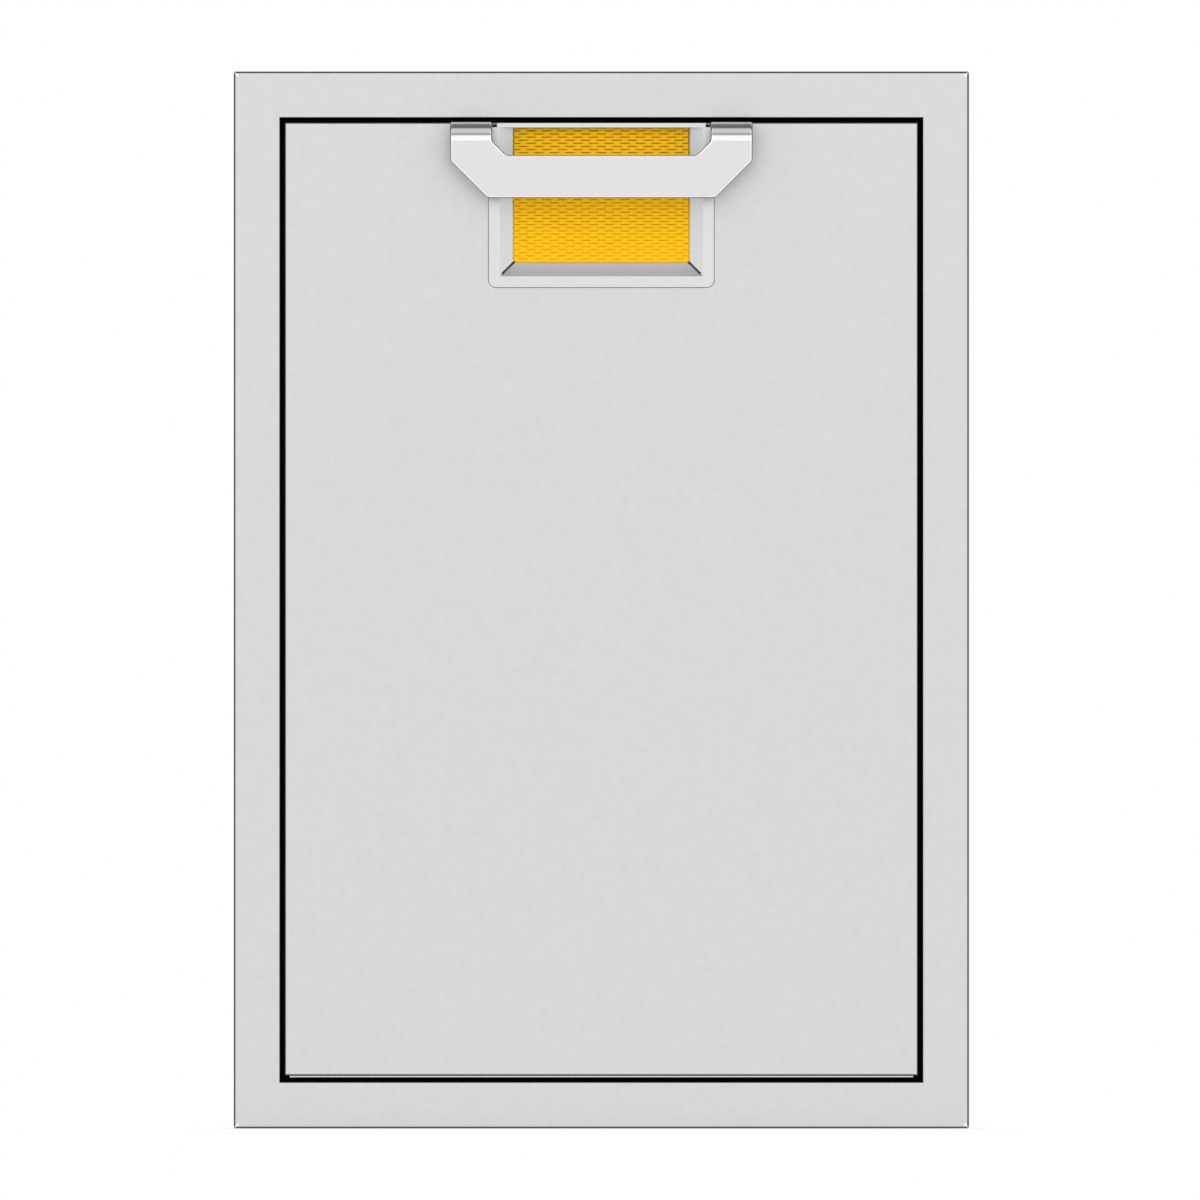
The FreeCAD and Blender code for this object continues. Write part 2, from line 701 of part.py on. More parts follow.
def drawer_front_liner():
    """Sheet that closes the pan, with a tongue folded forward under the skin."""
    sheet = slab(front_x, skin_back, liner_back, tongue_bottom, front_top)
    tongue_x = front_x - TONGUE_INSET
    front = face_y + TONGUE_SETBACK
    corner = Vector(0, 0, tongue_bottom)
    corners = [
        (-front_x, liner_back, 0),
        (-front_x, skin_back, 0),
        (-tongue_x, skin_back - TONGUE_INSET, 0),
        (-tongue_x, front, 0),
        (tongue_x, front, 0),
        (tongue_x, skin_back - TONGUE_INSET, 0),
        (front_x, skin_back, 0),
        (front_x, liner_back, 0),
    ]
    tongue = prism(corners, lambda x, y: corner + Vector(x, y, 0), UP * LINER_SHEET)
    holes = [screw_hole(seat, INWARD, stack) for seat, stack in front_screws()]
    return fused(sheet, tongue).cut(holes)


def front_seal():
    """Rubber ring on the liner that closes the gap to the jamb."""
    out_x = opening_x - SEAL_GAP
    out_z = opening_z - SEAL_GAP
    y0 = liner_back
    y1 = liner_back + SEAL_DEPTH
    ring = slab(out_x, y0, y1, -out_z, out_z)
    inner = slab(out_x - SEAL_WIDTH, y0, y1, -out_z + SEAL_WIDTH, out_z - SEAL_WIDTH)
    ring = ring.cut(inner)
    return ring.makeFillet(SEAL_ROUND, edges_where(ring, lambda p: near(p.y, y1)))


def rectangle_at(half_x, z0, z1, y):
    """Upright rectangle facing the front."""
    corners = [(-half_x, z0, 0), (half_x, z0, 0), (half_x, z1, 0), (-half_x, z1, 0)]
    return rounded_wire(corners, lambda x, z: Vector(x, y, z))


def mitre_slit():
    """Open seam along the right-hand lower corner of the recess, as far as the accent plate's corner."""
    half = MITRE_SLIT / 2 / math.sqrt(2)
    start_x = recess_x - MITRE_SLIT
    start_z = recess_bottom + MITRE_SLIT
    end_x = floor_x - ACCENT_CORNER / 2
    end_z = floor_bottom + ACCENT_CORNER / 2
    corners = [
        (start_x - half, start_z - half, 0),
        (start_x + half, start_z + half, 0),
        (end_x + half, end_z + half, 0),
        (end_x - half, end_z - half, 0),
    ]
    depth = POCKET_DEPTH + POCKET_SHEET
    return prism(corners, lambda x, z: Vector(x, pocket_front, z), INWARD * depth)


def handle_pocket():
    """Pressed pocket: a ring on the skin, three sloped walls, a level top wall and a floor."""
    ring_corners = [
        (-pocket_x, pocket_top, 0),
        (-pocket_x, pocket_bottom, POCKET_CORNER),
        (pocket_x, pocket_bottom, POCKET_CORNER),
        (pocket_x, pocket_top, 0),
    ]
    ring = prism(ring_corners, lambda x, z: Vector(x, pocket_front, z), INWARD * POCKET_PROUD)

    def on_ring_edge(edge):
        middle = edge.CenterOfMass
        return near(middle.y, pocket_front) and not near(middle.z, pocket_top)

    ring = ring.makeFillet(POCKET_EDGE_RADIUS, [edge for edge in ring.Edges if on_ring_edge(edge)])
    recess = Part.makeLoft(
        [
            rectangle_at(recess_x, recess_bottom, recess_top, pocket_front),
            rectangle_at(floor_x, floor_bottom, recess_top, pocket_floor),
        ],
        True,
        True,
    )
    wall = POCKET_SHEET
    front_wall = wall * math.hypot(POCKET_SLOPE, POCKET_DEPTH) / POCKET_DEPTH
    back_wall = front_wall - wall * POCKET_SLOPE / POCKET_DEPTH
    top = recess_top + wall
    casing = Part.makeLoft(
        [
            rectangle_at(recess_x + front_wall, recess_bottom - front_wall, top, pocket_front),
            rectangle_at(floor_x + back_wall, floor_bottom - back_wall, top, pocket_floor + wall),
        ],
        True,
        True,
    )
    slot_in = recess_x + RAIL_OVERHANG
    slot = block(slot_in, slot_in + RAIL_SLOT, pocket_front, face_y, recess_top, pocket_top)
    slit = mitre_slit()
    return fused(ring, casing).cut([recess, slot, mirrored(slot), slit, mirrored(slit)])


def accent_plate():
    """Coloured plate on the pocket's floor, with rounded lower corners."""
    half_x = floor_x - ACCENT_GAP
    bottom = floor_bottom + ACCENT_GAP
    top = recess_top - ACCENT_GAP
    corners = [
        (-half_x, bottom, ACCENT_CORNER),
        (half_x, bottom, ACCENT_CORNER),
        (half_x, top, 0),
        (-half_x, top, 0),
    ]
    return prism(corners, lambda x, z: Vector(x, pocket_floor, z), -INWARD * ACCENT_SHEET)


def handle_side_profile():
    """Bent plate seen from the side: front, bend, top and foot."""
    bottom = front_top - HANDLE_HEIGHT
    inner_top = front_top - HANDLE_PLATE
    foot_front = face_y - FOOT_THICKNESS
    return [
        (handle_front, bottom, 0),
        (handle_front, front_top, HANDLE_BEND),
        (face_y, front_top, 0),
        (face_y, front_top - FOOT_DROP, 0),
        (foot_front, front_top - FOOT_DROP, 0),
        (foot_front, inner_top, HANDLE_ROUND),
        (handle_front + HANDLE_PLATE, inner_top, HANDLE_BEND - HANDLE_PLATE),
        (handle_front + HANDLE_PLATE, bottom, 0),
    ]


def handle_front_profile():
    """Outline seen from the front: a bar on two legs with 45 degree corners."""
    top = front_top + HANDLE_ROUND
    bottom = front_top - HANDLE_HEIGHT
    bar_top = bottom + HANDLE_BAR
    out_x = HANDLE_WIDTH / 2
    leg_x = out_x - HANDLE_LEG
    right = [
        (leg_x - HANDLE_INNER_CORNER, bar_top, HANDLE_ROUND),
        (leg_x, bar_top + HANDLE_INNER_CORNER, HANDLE_ROUND),
        (leg_x, top, 0),
        (out_x, top, 0),
        (out_x, bottom + HANDLE_OUTER_CORNER, HANDLE_ROUND),
        (out_x - HANDLE_OUTER_CORNER, bottom, HANDLE_ROUND),
    ]
    left = [(-x, z, radius) for x, z, radius in reversed(right)]
    return right + left


def handle_pull():
    """Pull of thick plate, bent back to a foot at the top of each leg."""
    width = HANDLE_WIDTH
    bent = prism(handle_side_profile(), lambda y, z: Vector(-width, y, z), RIGHT * 2 * width)
    depth = HANDLE_REACH + FRONT_DEPTH
    ahead = handle_front - HANDLE_PLATE
    cut = prism(handle_front_profile(), lambda x, z: Vector(x, ahead, z), INWARD * depth)
    pull = bent.common(cut).removeSplitter()

    def on_front(point):
        return near(point.y, handle_front)

    pull = pull.makeFillet(HANDLE_EDGE_RADIUS, edges_where(pull, on_front))
    ring_room = slab(foot_in, pocket_front - REST_GAP, face_y, pocket_bottom, front_top)
    foot_room = slab(foot_in, face_y - FOOT_THICKNESS, face_y, pocket_bottom, front_top - HANDLE_PLATE)
    holes = []
    for seat in foot_screw_seats():
        holes.append(screw_hole(seat, INWARD, SHEET + BACKING_SHEET + FOOT_THICKNESS - SCREW_TIP))
    return pull.cut([ring_room, foot_room] + both_sides(holes))


def handle_backing_plate():
    """Stiffener inside the skin behind a foot of the pull."""
    y0 = face_y + SHEET
    bottom = front_top - FOOT_DROP
    plate = block(foot_in, foot_out, y0, y0 + BACKING_SHEET, bottom, front_top - SHEET)
    return plate.cut([screw_hole(seat, INWARD, BACKING_SHEET) for seat in foot_screw_seats()])


def handle_screws():
    length = SHEET + BACKING_SHEET + FOOT_THICKNESS - 2 * SCREW_TIP
    return Part.makeCompound(both_sides([screw(seat, INWARD, length) for seat in foot_screw_seats()]))


# Tray


def bin_tray():
    """Welded tray with hemmed side and rear walls."""
    outer = slab(tray_x, liner_back, tray_back, tray_bottom, tray_top)
    outer = outer.makeFillet(TRAY_BEND + SHEET, edges_where(outer, lambda p: near(p.z, tray_bottom)))
    inner = slab(tray_in_x, tray_in_front, tray_back - SHEET, tray_floor, tray_top)
    inner = inner.makeFillet(TRAY_BEND, edges_where(inner, lambda p: near(p.z, tray_floor)))
    hem_bottom = tray_top - HEM_HEIGHT
    hem = slab(tray_x + SHEET, tray_in_front, tray_back + SHEET, hem_bottom, tray_top)
    hem = hem.cut(slab(tray_x, tray_in_front, tray_back, hem_bottom, tray_top))
    holes = []
    for seat in slide_tray_seats():
        holes.append(rivet_hole(seat, -RIGHT, SHEET))
    for seat in stay_rivet_seats():
        holes.append(rivet_hole(seat, -RIGHT, STAY_SHEET + SHEET))
    holes = both_sides(holes)
    for seat in tray_screw_seats():
        holes.append(screw_hole(seat, INWARD, SHEET))
    return fused(outer.cut(inner), hem).cut(holes)


def front_stay():
    """Right-hand gusset that braces the tall front to the tray's side."""
    low = tray_floor + STAY_FOOT
    step = tray_top + RUN_GAP
    x0 = tray_in_x - STAY_SHEET
    corners = [
        (tray_in_front, low, 0),
        (tray_in_front + STAY_REACH, low, STAY_CORNER),
        (tray_in_front + STAY_REACH, tray_top - HEM_HEIGHT, STAY_CORNER),
        (liner_back + STAY_FLANGE, stay_top, STAY_CORNER),
        (liner_back, stay_top, 0),
        (liner_back, step, 0),
        (tray_in_front, step, 0),
    ]
    plate = prism(corners, lambda y, z: Vector(x0, y, z), RIGHT * STAY_SHEET)
    flange = block(x0 - STAY_FLANGE, tray_in_x, liner_back, liner_back + STAY_SHEET, step, stay_top)
    holes = [rivet_hole(seat, -RIGHT, STAY_SHEET) for seat in stay_rivet_seats()]
    holes += [screw_hole(seat, INWARD, STAY_SHEET) for seat in stay_screw_seats()]
    return fused(plate, flange).cut(holes)


def stay_rivets():
    grip = STAY_SHEET + SHEET
    return Part.makeCompound(both_sides([rivet(seat, -RIGHT, grip) for seat in stay_rivet_seats()]))


def front_fixing_screws():
    screws = []
    for seat, stack in front_screws():
        screws.append(screw(seat, INWARD, stack + NUT_HEIGHT + SCREW_TIP))
    return Part.makeCompound(screws)


def liner_weld_nuts():
    nuts = []
    for seat, stack in front_screws():
        face = seat - INWARD * stack
        nut = hexagon(NUT_RADIUS, NUT_HEIGHT, face, -INWARD)
        nuts.append(nut.cut(screw_hole(face, INWARD, NUT_HEIGHT)))
    return Part.makeCompound(nuts)


def angle_stop(face, away):
    """Folded angle on the tray's floor: its wall stands at face and its foot points away from the bin."""
    half_x = bin_x - bin_base_inset
    wall_far = face + away * SHEET
    foot_far = face + away * STOP_FOOT
    wall = slab(half_x, min(face, wall_far), max(face, wall_far), tray_floor, tray_floor + STOP_HEIGHT)
    foot = slab(half_x, min(face, foot_far), max(face, foot_far), tray_floor, tray_floor + SHEET)
    return fused(wall, foot)


def front_bin_stop():
    return angle_stop(bin_front + bin_base_inset - STOP_GAP, -1)


def rear_bin_stop():
    return angle_stop(bin_back - bin_base_inset + STOP_GAP, 1)


def middle_bin_stop():
    """Folded channel between the bases of the two bins."""
    half_x = bin_x - bin_base_inset
    y0 = bin_front + bin_depth - bin_base_inset + STOP_GAP
    y1 = bin_back - bin_depth + bin_base_inset - STOP_GAP
    top = tray_floor + STOP_HEIGHT
    channel = slab(half_x, y0, y1, tray_floor, top)
    return channel.cut(slab(half_x, y0 + SHEET, y1 - SHEET, tray_floor, top - SHEET))


# Bins


def tub_wire(centre_y, height, inset):
    """Section of a bin's tapered wall at a height above its base."""
    spread = BIN_TAPER * height / BIN_HEIGHT - bin_base_inset - inset
    half_x = bin_x + spread
    half_y = bin_depth / 2 + spread
    return rectangle_wire(half_x, half_y, centre_y, bin_bottom + height, BIN_CORNER - inset)


def tub(centre_y, bottom, top, inset, base_radius):
    """Tapered solid with a rounded base."""
    solid = Part.makeLoft([tub_wire(centre_y, bottom, inset), tub_wire(centre_y, top, inset)], True, True)
    base = edges_where(solid, lambda p: near(p.z, bin_bottom + bottom))
    return solid.makeFillet(base_radius, base)


def bin_rim(centre_y):
    """Turned-down rim with a deeper grip at each end."""
    top = bin_bottom + BIN_HEIGHT
    low = top - BIN_SKIRT
    corner = BIN_CORNER + BIN_RIM
    half_y = bin_depth / 2
    outer = Part.Face(rectangle_wire(bin_x, half_y, centre_y, low, corner)).extrude(UP * BIN_SKIRT)
    wall = BIN_WALL
    inner_wire = rectangle_wire(bin_x - wall, half_y - wall, centre_y, low, corner - wall)
    inner = Part.Face(inner_wire).extrude(UP * (BIN_SKIRT - wall))
    y0 = centre_y - GRIP_WIDTH / 2
    y1 = centre_y + GRIP_WIDTH / 2
    grip = block(bin_x - wall, bin_x, y0, y1, low - GRIP_DROP, low)

    def on_lower_corner(point):
        return near(point.z, low - GRIP_DROP) and near(abs(point.y - centre_y), GRIP_WIDTH / 2)

    corners = [edge for edge in grip.Edges if on_lower_corner(edge.CenterOfMass)]
    grip = grip.makeFillet(limited(GRIP_ROUND, GRIP_DROP), corners)
    return fused(outer.cut(inner), grip, mirrored(grip))


def waste_bin(front):
    """Moulded bin: tapered tub with a turned-down rim."""
    centre_y = front + bin_depth / 2
    outer = tub(centre_y, 0, BIN_HEIGHT, 0, BIN_BASE_RADIUS)
    inner = tub(centre_y, BIN_FLOOR, BIN_HEIGHT, BIN_WALL, BIN_BASE_RADIUS - BIN_WALL)
    return fused(outer, bin_rim(centre_y)).cut(inner)


def front_bin():
    return waste_bin(bin_front)


def rear_bin():
    return waste_bin(bin_back - bin_depth)


ONE_PIECE = [
    trim_frame,
    housing_right_side,
    housing_floor,
    housing_back,
    housing_rivets,
    slide_housing_rivets,
    slide_tray_rivets,
    drawer_front_skin,
    drawer_front_liner,
    front_seal,
    handle_pocket,
    accent_plate,
    handle_pull,
    handle_screws,
    bin_tray,
    stay_rivets,
    front_fixing_screws,
    liner_weld_nuts,
    front_bin_stop,
    middle_bin_stop,
    rear_bin_stop,
    front_bin,
    rear_bin,
]

HANDED = {
    "slide_cabinet_member": slide_cabinet_member,
    "slide_outer_cage": slide_outer_cage,
    "slide_outer_balls": lambda: slide_balls(outer_ball_u, outer_ball_v),
    "slide_intermediate_member": slide_intermediate_member,
    "slide_inner_cage": slide_inner_cage,
    "slide_inner_balls": lambda: slide_balls(inner_ball_u, inner_ball_v),
    "slide_drawer_member": slide_drawer_member,
    "slide_end_buffer": slide_end_buffer,
    "release_lever": release_lever,
    "release_lever_pin": release_lever_pin,
    "front_stay": front_stay,
    "handle_backing_plate": handle_backing_plate,
}


def build():
    """Every node's solid by its name."""
    nodes = {piece.__name__: piece() for piece in ONE_PIECE}
    nodes["housing_left_side"] = mirrored(nodes["housing_right_side"])
    for name, piece in HANDED.items():
        shape = piece()
        nodes["right_" + name] = shape
        nodes["left_" + name] = mirrored(shape)
    return nodes


os.makedirs("parts", exist_ok=True)
for node, shape in build().items():
    shape.exportStep(os.path.join("parts", node + ".step"))
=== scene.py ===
import json
import math

import bmesh
import bpy
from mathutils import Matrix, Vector


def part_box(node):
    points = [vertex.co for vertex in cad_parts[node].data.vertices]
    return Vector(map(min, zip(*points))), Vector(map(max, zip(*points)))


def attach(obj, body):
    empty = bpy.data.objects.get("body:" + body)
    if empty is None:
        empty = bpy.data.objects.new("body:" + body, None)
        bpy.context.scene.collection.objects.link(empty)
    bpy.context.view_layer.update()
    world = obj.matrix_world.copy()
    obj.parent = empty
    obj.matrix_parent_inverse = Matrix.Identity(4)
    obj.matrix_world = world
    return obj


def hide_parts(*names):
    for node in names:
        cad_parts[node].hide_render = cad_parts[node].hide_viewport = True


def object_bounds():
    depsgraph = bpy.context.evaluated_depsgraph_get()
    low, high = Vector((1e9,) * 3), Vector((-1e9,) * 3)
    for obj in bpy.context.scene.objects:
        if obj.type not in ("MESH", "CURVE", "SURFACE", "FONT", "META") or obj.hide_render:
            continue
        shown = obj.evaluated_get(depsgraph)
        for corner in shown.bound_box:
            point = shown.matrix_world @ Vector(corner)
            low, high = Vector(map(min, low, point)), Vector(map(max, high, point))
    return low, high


# Looks of a roll-out waste drawer with a satin stainless front, a bent pull and a yellow pressed plate.
# Metres, +X right, +Y into the island, +Z up.

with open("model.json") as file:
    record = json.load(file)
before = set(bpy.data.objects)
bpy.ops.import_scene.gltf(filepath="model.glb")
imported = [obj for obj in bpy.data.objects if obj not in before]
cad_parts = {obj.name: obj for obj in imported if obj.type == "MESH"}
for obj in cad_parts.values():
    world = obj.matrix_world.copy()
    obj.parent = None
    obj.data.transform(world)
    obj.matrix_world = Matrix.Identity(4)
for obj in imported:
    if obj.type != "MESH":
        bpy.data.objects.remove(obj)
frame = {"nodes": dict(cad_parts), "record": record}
cad_low, cad_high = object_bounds()

MM = 0.001

# The photograph is a square, and these are the outer edges of the trim frame in it
PHOTO_PIXELS = 1200
TRIM_LEFT_PX = 233.7
TRIM_RIGHT_PX = 969.0
TRIM_TOP_PX = 71.9
TRIM_BOTTOM_PX = 1128.0
LENS = 1200.0  # long enough for a view with next to no perspective
SENSOR = 36.0

# Studio
AMBIENT = 1.16
FLOOR_TONE = "E6E6E4"
FLOOR_SIZE = 80.0
CONTACT_SHADOW = 50 * MM  # how far it reaches on the floor
SHADOW_LEVEL = 0.55  # right beside the object
SHADOW_SAMPLES = 16
STUDIO_RADIUS = 12.0
STUDIO_WIDTH = 40.0

# How squarely a sheet's surface faces along an axis
BEND_FACING = 0.93  # up to here a bend
FLAT_FACING = 0.99  # from here on a flat

# Where the painted highlight and painted shade on the pull's rounded edges change, by how far they turn
# from the face
PULL_HIGHLIGHT_START = 0.05
PULL_HIGHLIGHT_FULL = 0.25
PULL_SHADE_START = 0.42
PULL_SHADE_FULL = 0.58

# Where the painted shade on the outer edge of the pocket's ring shows, by how far it turns down, or
# outward times its distance from the middle
RING_SHADE_LOW_START = 0.15
RING_SHADE_LOW_FULL = 0.35
RING_SHADE_SIDE_START = 10 * MM
RING_SHADE_SIDE_FULL = 25 * MM

# Pressed pattern of the yellow plate: short dashes in staggered rows
DASH_PERIOD = 10.8 * MM
DASH_PITCH = 2.16 * MM
DASH_DEPTH = 0.7 * MM
PAD_CROWN = 0.12 * MM
CELL_COLUMNS = 8
CELL_ROWS = 4
DASH_FLAT_COLUMNS = 2
PLATE_CORNER = 1.2 * MM
PLATE_CHAMFER = 0.7 * MM
PLATE_SPREAD = 0.25 * MM  # its back edge reaches the foot of the pocket's walls
MERGE_DISTANCE = 0.01 * MM
SMOOTH_ANGLE = math.radians(50)
GROOVE_SHADE_AT_FOOT = 0.12  # share of the painted shade in the dashes at the plate's foot, which is 1 at its top

# Black strip inside the jamb: painted shade for the gap
STRIP_START = 1.2 * MM  # behind the trim's face
STRIP_SHEET = 0.3 * MM
STRIP_TO_SEAL = 0.55 * MM
LIP_TO_SEAL = 0.8 * MM
LIP_HEIGHT = 0.8 * MM  # low enough for the slides to pass

# Colour sockets of a Mix node
MIX_A = 6
MIX_B = 7
MIX_RESULT = 2


# Node trees


def linear(hex_code):
    """Linear colour of an sRGB hex value."""
    channels = []
    for i in (0, 2, 4):
        value = int(hex_code[i:i + 2], 16) / 255
        channels.append(value / 12.92 if value <= 0.04045 else ((value + 0.055) / 1.055) ** 2.4)
    return (*channels, 1.0)


def per_metre(size_mm):
    """Texture scale that gives features of a size in millimetres."""
    return 1000 / size_mm


def add(tree, kind, inputs=None, **settings):
    """One node with its own settings, and its inputs set or linked."""
    made = tree.nodes.new(kind)
    for name, value in settings.items():
        setattr(made, name, value)
    for name, value in (inputs or {}).items():
        if isinstance(value, bpy.types.NodeSocket):
            tree.links.new(value, made.inputs[name])
        else:
            made.inputs[name].default_value = value
    return made


def new_material(name):
    """Empty material and its tree."""
    material = bpy.data.materials.new(name)
    material.use_nodes = True
    tree = material.node_tree
    tree.nodes.clear()
    return material, tree


# Metals


def on_flats(tree):
    """1 where the surface faces squarely along an axis, 0 on the bends between."""
    facing = add(tree, "ShaderNodeTexCoord").outputs["Normal"]
    size = add(tree, "ShaderNodeVectorMath", {0: facing}, operation="ABSOLUTE").outputs["Vector"]
    parts = add(tree, "ShaderNodeSeparateXYZ", {"Vector": size}).outputs
    larger = add(tree, "ShaderNodeMath", {0: parts["X"], 1: parts["Y"]}, operation="MAXIMUM").outputs[0]
    largest = add(tree, "ShaderNodeMath", {0: larger, 1: parts["Z"]}, operation="MAXIMUM").outputs[0]
    limits = {"Value": largest, "From Min": BEND_FACING, "From Max": FLAT_FACING}
    return add(tree, "ShaderNodeMapRange", limits).outputs["Result"]


def satin_stainless():
    """Stainless sheet with a satin that has no direction: an even grey, a fine grain, faint clouds.
    Its bends and slopes are painted a darker tone than its flats: painted shade for the dark reflections
    along its folds.
    Real grit is too fine to show, so the grain is drawn coarser."""
    material, tree = new_material("satin_stainless_sheet")
    place = add(tree, "ShaderNodeTexCoord").outputs["Object"]
    grain = add(tree, "ShaderNodeTexNoise", {
        "Vector": place,
        "Scale": per_metre(1.6),
        "Detail": 3.0,
    }).outputs["Fac"]
    cloud = add(tree, "ShaderNodeTexNoise", {
        "Vector": place,
        "Scale": per_metre(5.0),
        "Detail": 4.0,
    }).outputs["Fac"]
    tones = {0: cloud, MIX_A: linear("CCCCCE"), MIX_B: linear("D5D5D7")}
    flats = add(tree, "ShaderNodeMix", tones, data_type="RGBA").outputs[MIX_RESULT]
    # Painted shade: the bends and slopes get a dark grey in place of the satin tones
    parts = {0: on_flats(tree), MIX_A: linear("5C5C5E"), MIX_B: flats}
    gloss = {"Value": grain, "To Min": 0.37, "To Max": 0.47}
    bump = add(tree, "ShaderNodeBump", {"Height": grain, "Strength": 0.35, "Distance": 0.02 * MM})
    shader = add(tree, "ShaderNodeBsdfPrincipled", {
        "Base Color": add(tree, "ShaderNodeMix", parts, data_type="RGBA").outputs[MIX_RESULT],
        "Metallic": 1.0,
        "Roughness": add(tree, "ShaderNodeMapRange", gloss).outputs["Result"],
        "Normal": bump.outputs["Normal"],
    })
    add(tree, "ShaderNodeOutputMaterial", {"Surface": shader.outputs["BSDF"]})
    return material


def pressed_stainless():
    """Stainless pressing: its drawn walls are painted a little brighter than its flats, as painted light.
    Its outer edge is painted a dark grey, as painted shade for a dark outline."""
    material, tree = new_material("pressed_stainless")
    place = add(tree, "ShaderNodeTexCoord").outputs["Object"]
    cloud = add(tree, "ShaderNodeTexNoise", {
        "Vector": place,
        "Scale": per_metre(5.0),
        "Detail": 4.0,
    }).outputs["Fac"]
    facing = add(tree, "ShaderNodeTexCoord").outputs["Normal"]
    toward = add(tree, "ShaderNodeSeparateXYZ", {"Vector": facing}).outputs
    across = add(tree, "ShaderNodeSeparateXYZ", {"Vector": place}).outputs["X"]
    outward = add(tree, "ShaderNodeMath", {0: toward["X"], 1: across}, operation="MULTIPLY").outputs[0]
    # Painted shade: where the ring's edge turns down or outward, its colour goes to a dark grey
    ring_shade_side = {"Value": outward, "From Min": RING_SHADE_SIDE_START, "From Max": RING_SHADE_SIDE_FULL}
    ring_shade_low = {"Value": toward["Z"], "From Min": -RING_SHADE_LOW_START, "From Max": -RING_SHADE_LOW_FULL}
    cuts = {
        0: add(tree, "ShaderNodeMapRange", ring_shade_side).outputs["Result"],
        1: add(tree, "ShaderNodeMapRange", ring_shade_low).outputs["Result"],
    }
    tones = {0: cloud, MIX_A: linear("D0D0D2"), MIX_B: linear("D8D8DA")}
    flats = add(tree, "ShaderNodeMix", tones, data_type="RGBA").outputs[MIX_RESULT]
    # Painted light: the drawn walls get a lighter grey than the flats
    walls_painted_light = {0: on_flats(tree), MIX_A: linear("E5E7EA"), MIX_B: flats}
    parts = {
        0: add(tree, "ShaderNodeMath", cuts, operation="MAXIMUM").outputs[0],
        MIX_A: add(tree, "ShaderNodeMix", walls_painted_light, data_type="RGBA").outputs[MIX_RESULT],
        MIX_B: linear("707072"),
    }
    gloss = {"Value": cloud, "To Min": 0.28, "To Max": 0.33}
    shader = add(tree, "ShaderNodeBsdfPrincipled", {
        "Base Color": add(tree, "ShaderNodeMix", parts, data_type="RGBA").outputs[MIX_RESULT],
        "Metallic": 1.0,
        "Roughness": add(tree, "ShaderNodeMapRange", gloss).outputs["Result"],
    })
    add(tree, "ShaderNodeOutputMaterial", {"Surface": shader.outputs["BSDF"]})
    return material


def polished_stainless():
    """Thick stainless plate, ground and polished: soft mirror bands on its bends, barely any grain.
    Its rounded edges have a white painted highlight where they turn from the face, and a dark painted
    shade farther round."""
    material, tree = new_material("polished_stainless_plate")
    place = add(tree, "ShaderNodeTexCoord").outputs["Object"]
    polish = add(tree, "ShaderNodeTexNoise", {
        "Vector": place,
        "Scale": per_metre(3.0),
        "Detail": 3.0,
    }).outputs["Fac"]
    facing = add(tree, "ShaderNodeTexCoord").outputs["Normal"]
    toward = add(tree, "ShaderNodeSeparateXYZ", {"Vector": facing}).outputs
    sideways = add(tree, "ShaderNodeMath", {0: toward["X"]}, operation="ABSOLUTE").outputs[0]
    down = add(tree, "ShaderNodeMath", {0: toward["Z"], 1: -1.0}, operation="MULTIPLY").outputs[0]
    turned = add(tree, "ShaderNodeMath", {0: sideways, 1: down}, operation="MAXIMUM").outputs[0]
    pull_highlight = {"Value": turned, "From Min": PULL_HIGHLIGHT_START, "From Max": PULL_HIGHLIGHT_FULL}
    pull_shade = {"Value": turned, "From Min": PULL_SHADE_START, "From Max": PULL_SHADE_FULL}
    tones = {0: polish, MIX_A: linear("D9D7DA"), MIX_B: linear("DDDBDE")}
    # Painted highlight: white where the edge first turns from the face
    rim = {
        0: add(tree, "ShaderNodeMapRange", pull_highlight).outputs["Result"],
        MIX_A: add(tree, "ShaderNodeMix", tones, data_type="RGBA").outputs[MIX_RESULT],
        MIX_B: linear("FFFFFF"),
    }
    # Painted shade: dark grey farther round the edge
    edge = {
        0: add(tree, "ShaderNodeMapRange", pull_shade).outputs["Result"],
        MIX_A: add(tree, "ShaderNodeMix", rim, data_type="RGBA").outputs[MIX_RESULT],
        MIX_B: linear("767678"),
    }
    gloss = {"Value": polish, "To Min": 0.14, "To Max": 0.20}
    bump = add(tree, "ShaderNodeBump", {"Height": polish, "Strength": 0.1, "Distance": 0.005 * MM})
    shader = add(tree, "ShaderNodeBsdfPrincipled", {
        "Base Color": add(tree, "ShaderNodeMix", edge, data_type="RGBA").outputs[MIX_RESULT],
        "Metallic": 1.0,
        "Roughness": add(tree, "ShaderNodeMapRange", gloss).outputs["Result"],
        "Normal": bump.outputs["Normal"],
    })
    add(tree, "ShaderNodeOutputMaterial", {"Surface": shader.outputs["BSDF"]})
    return material


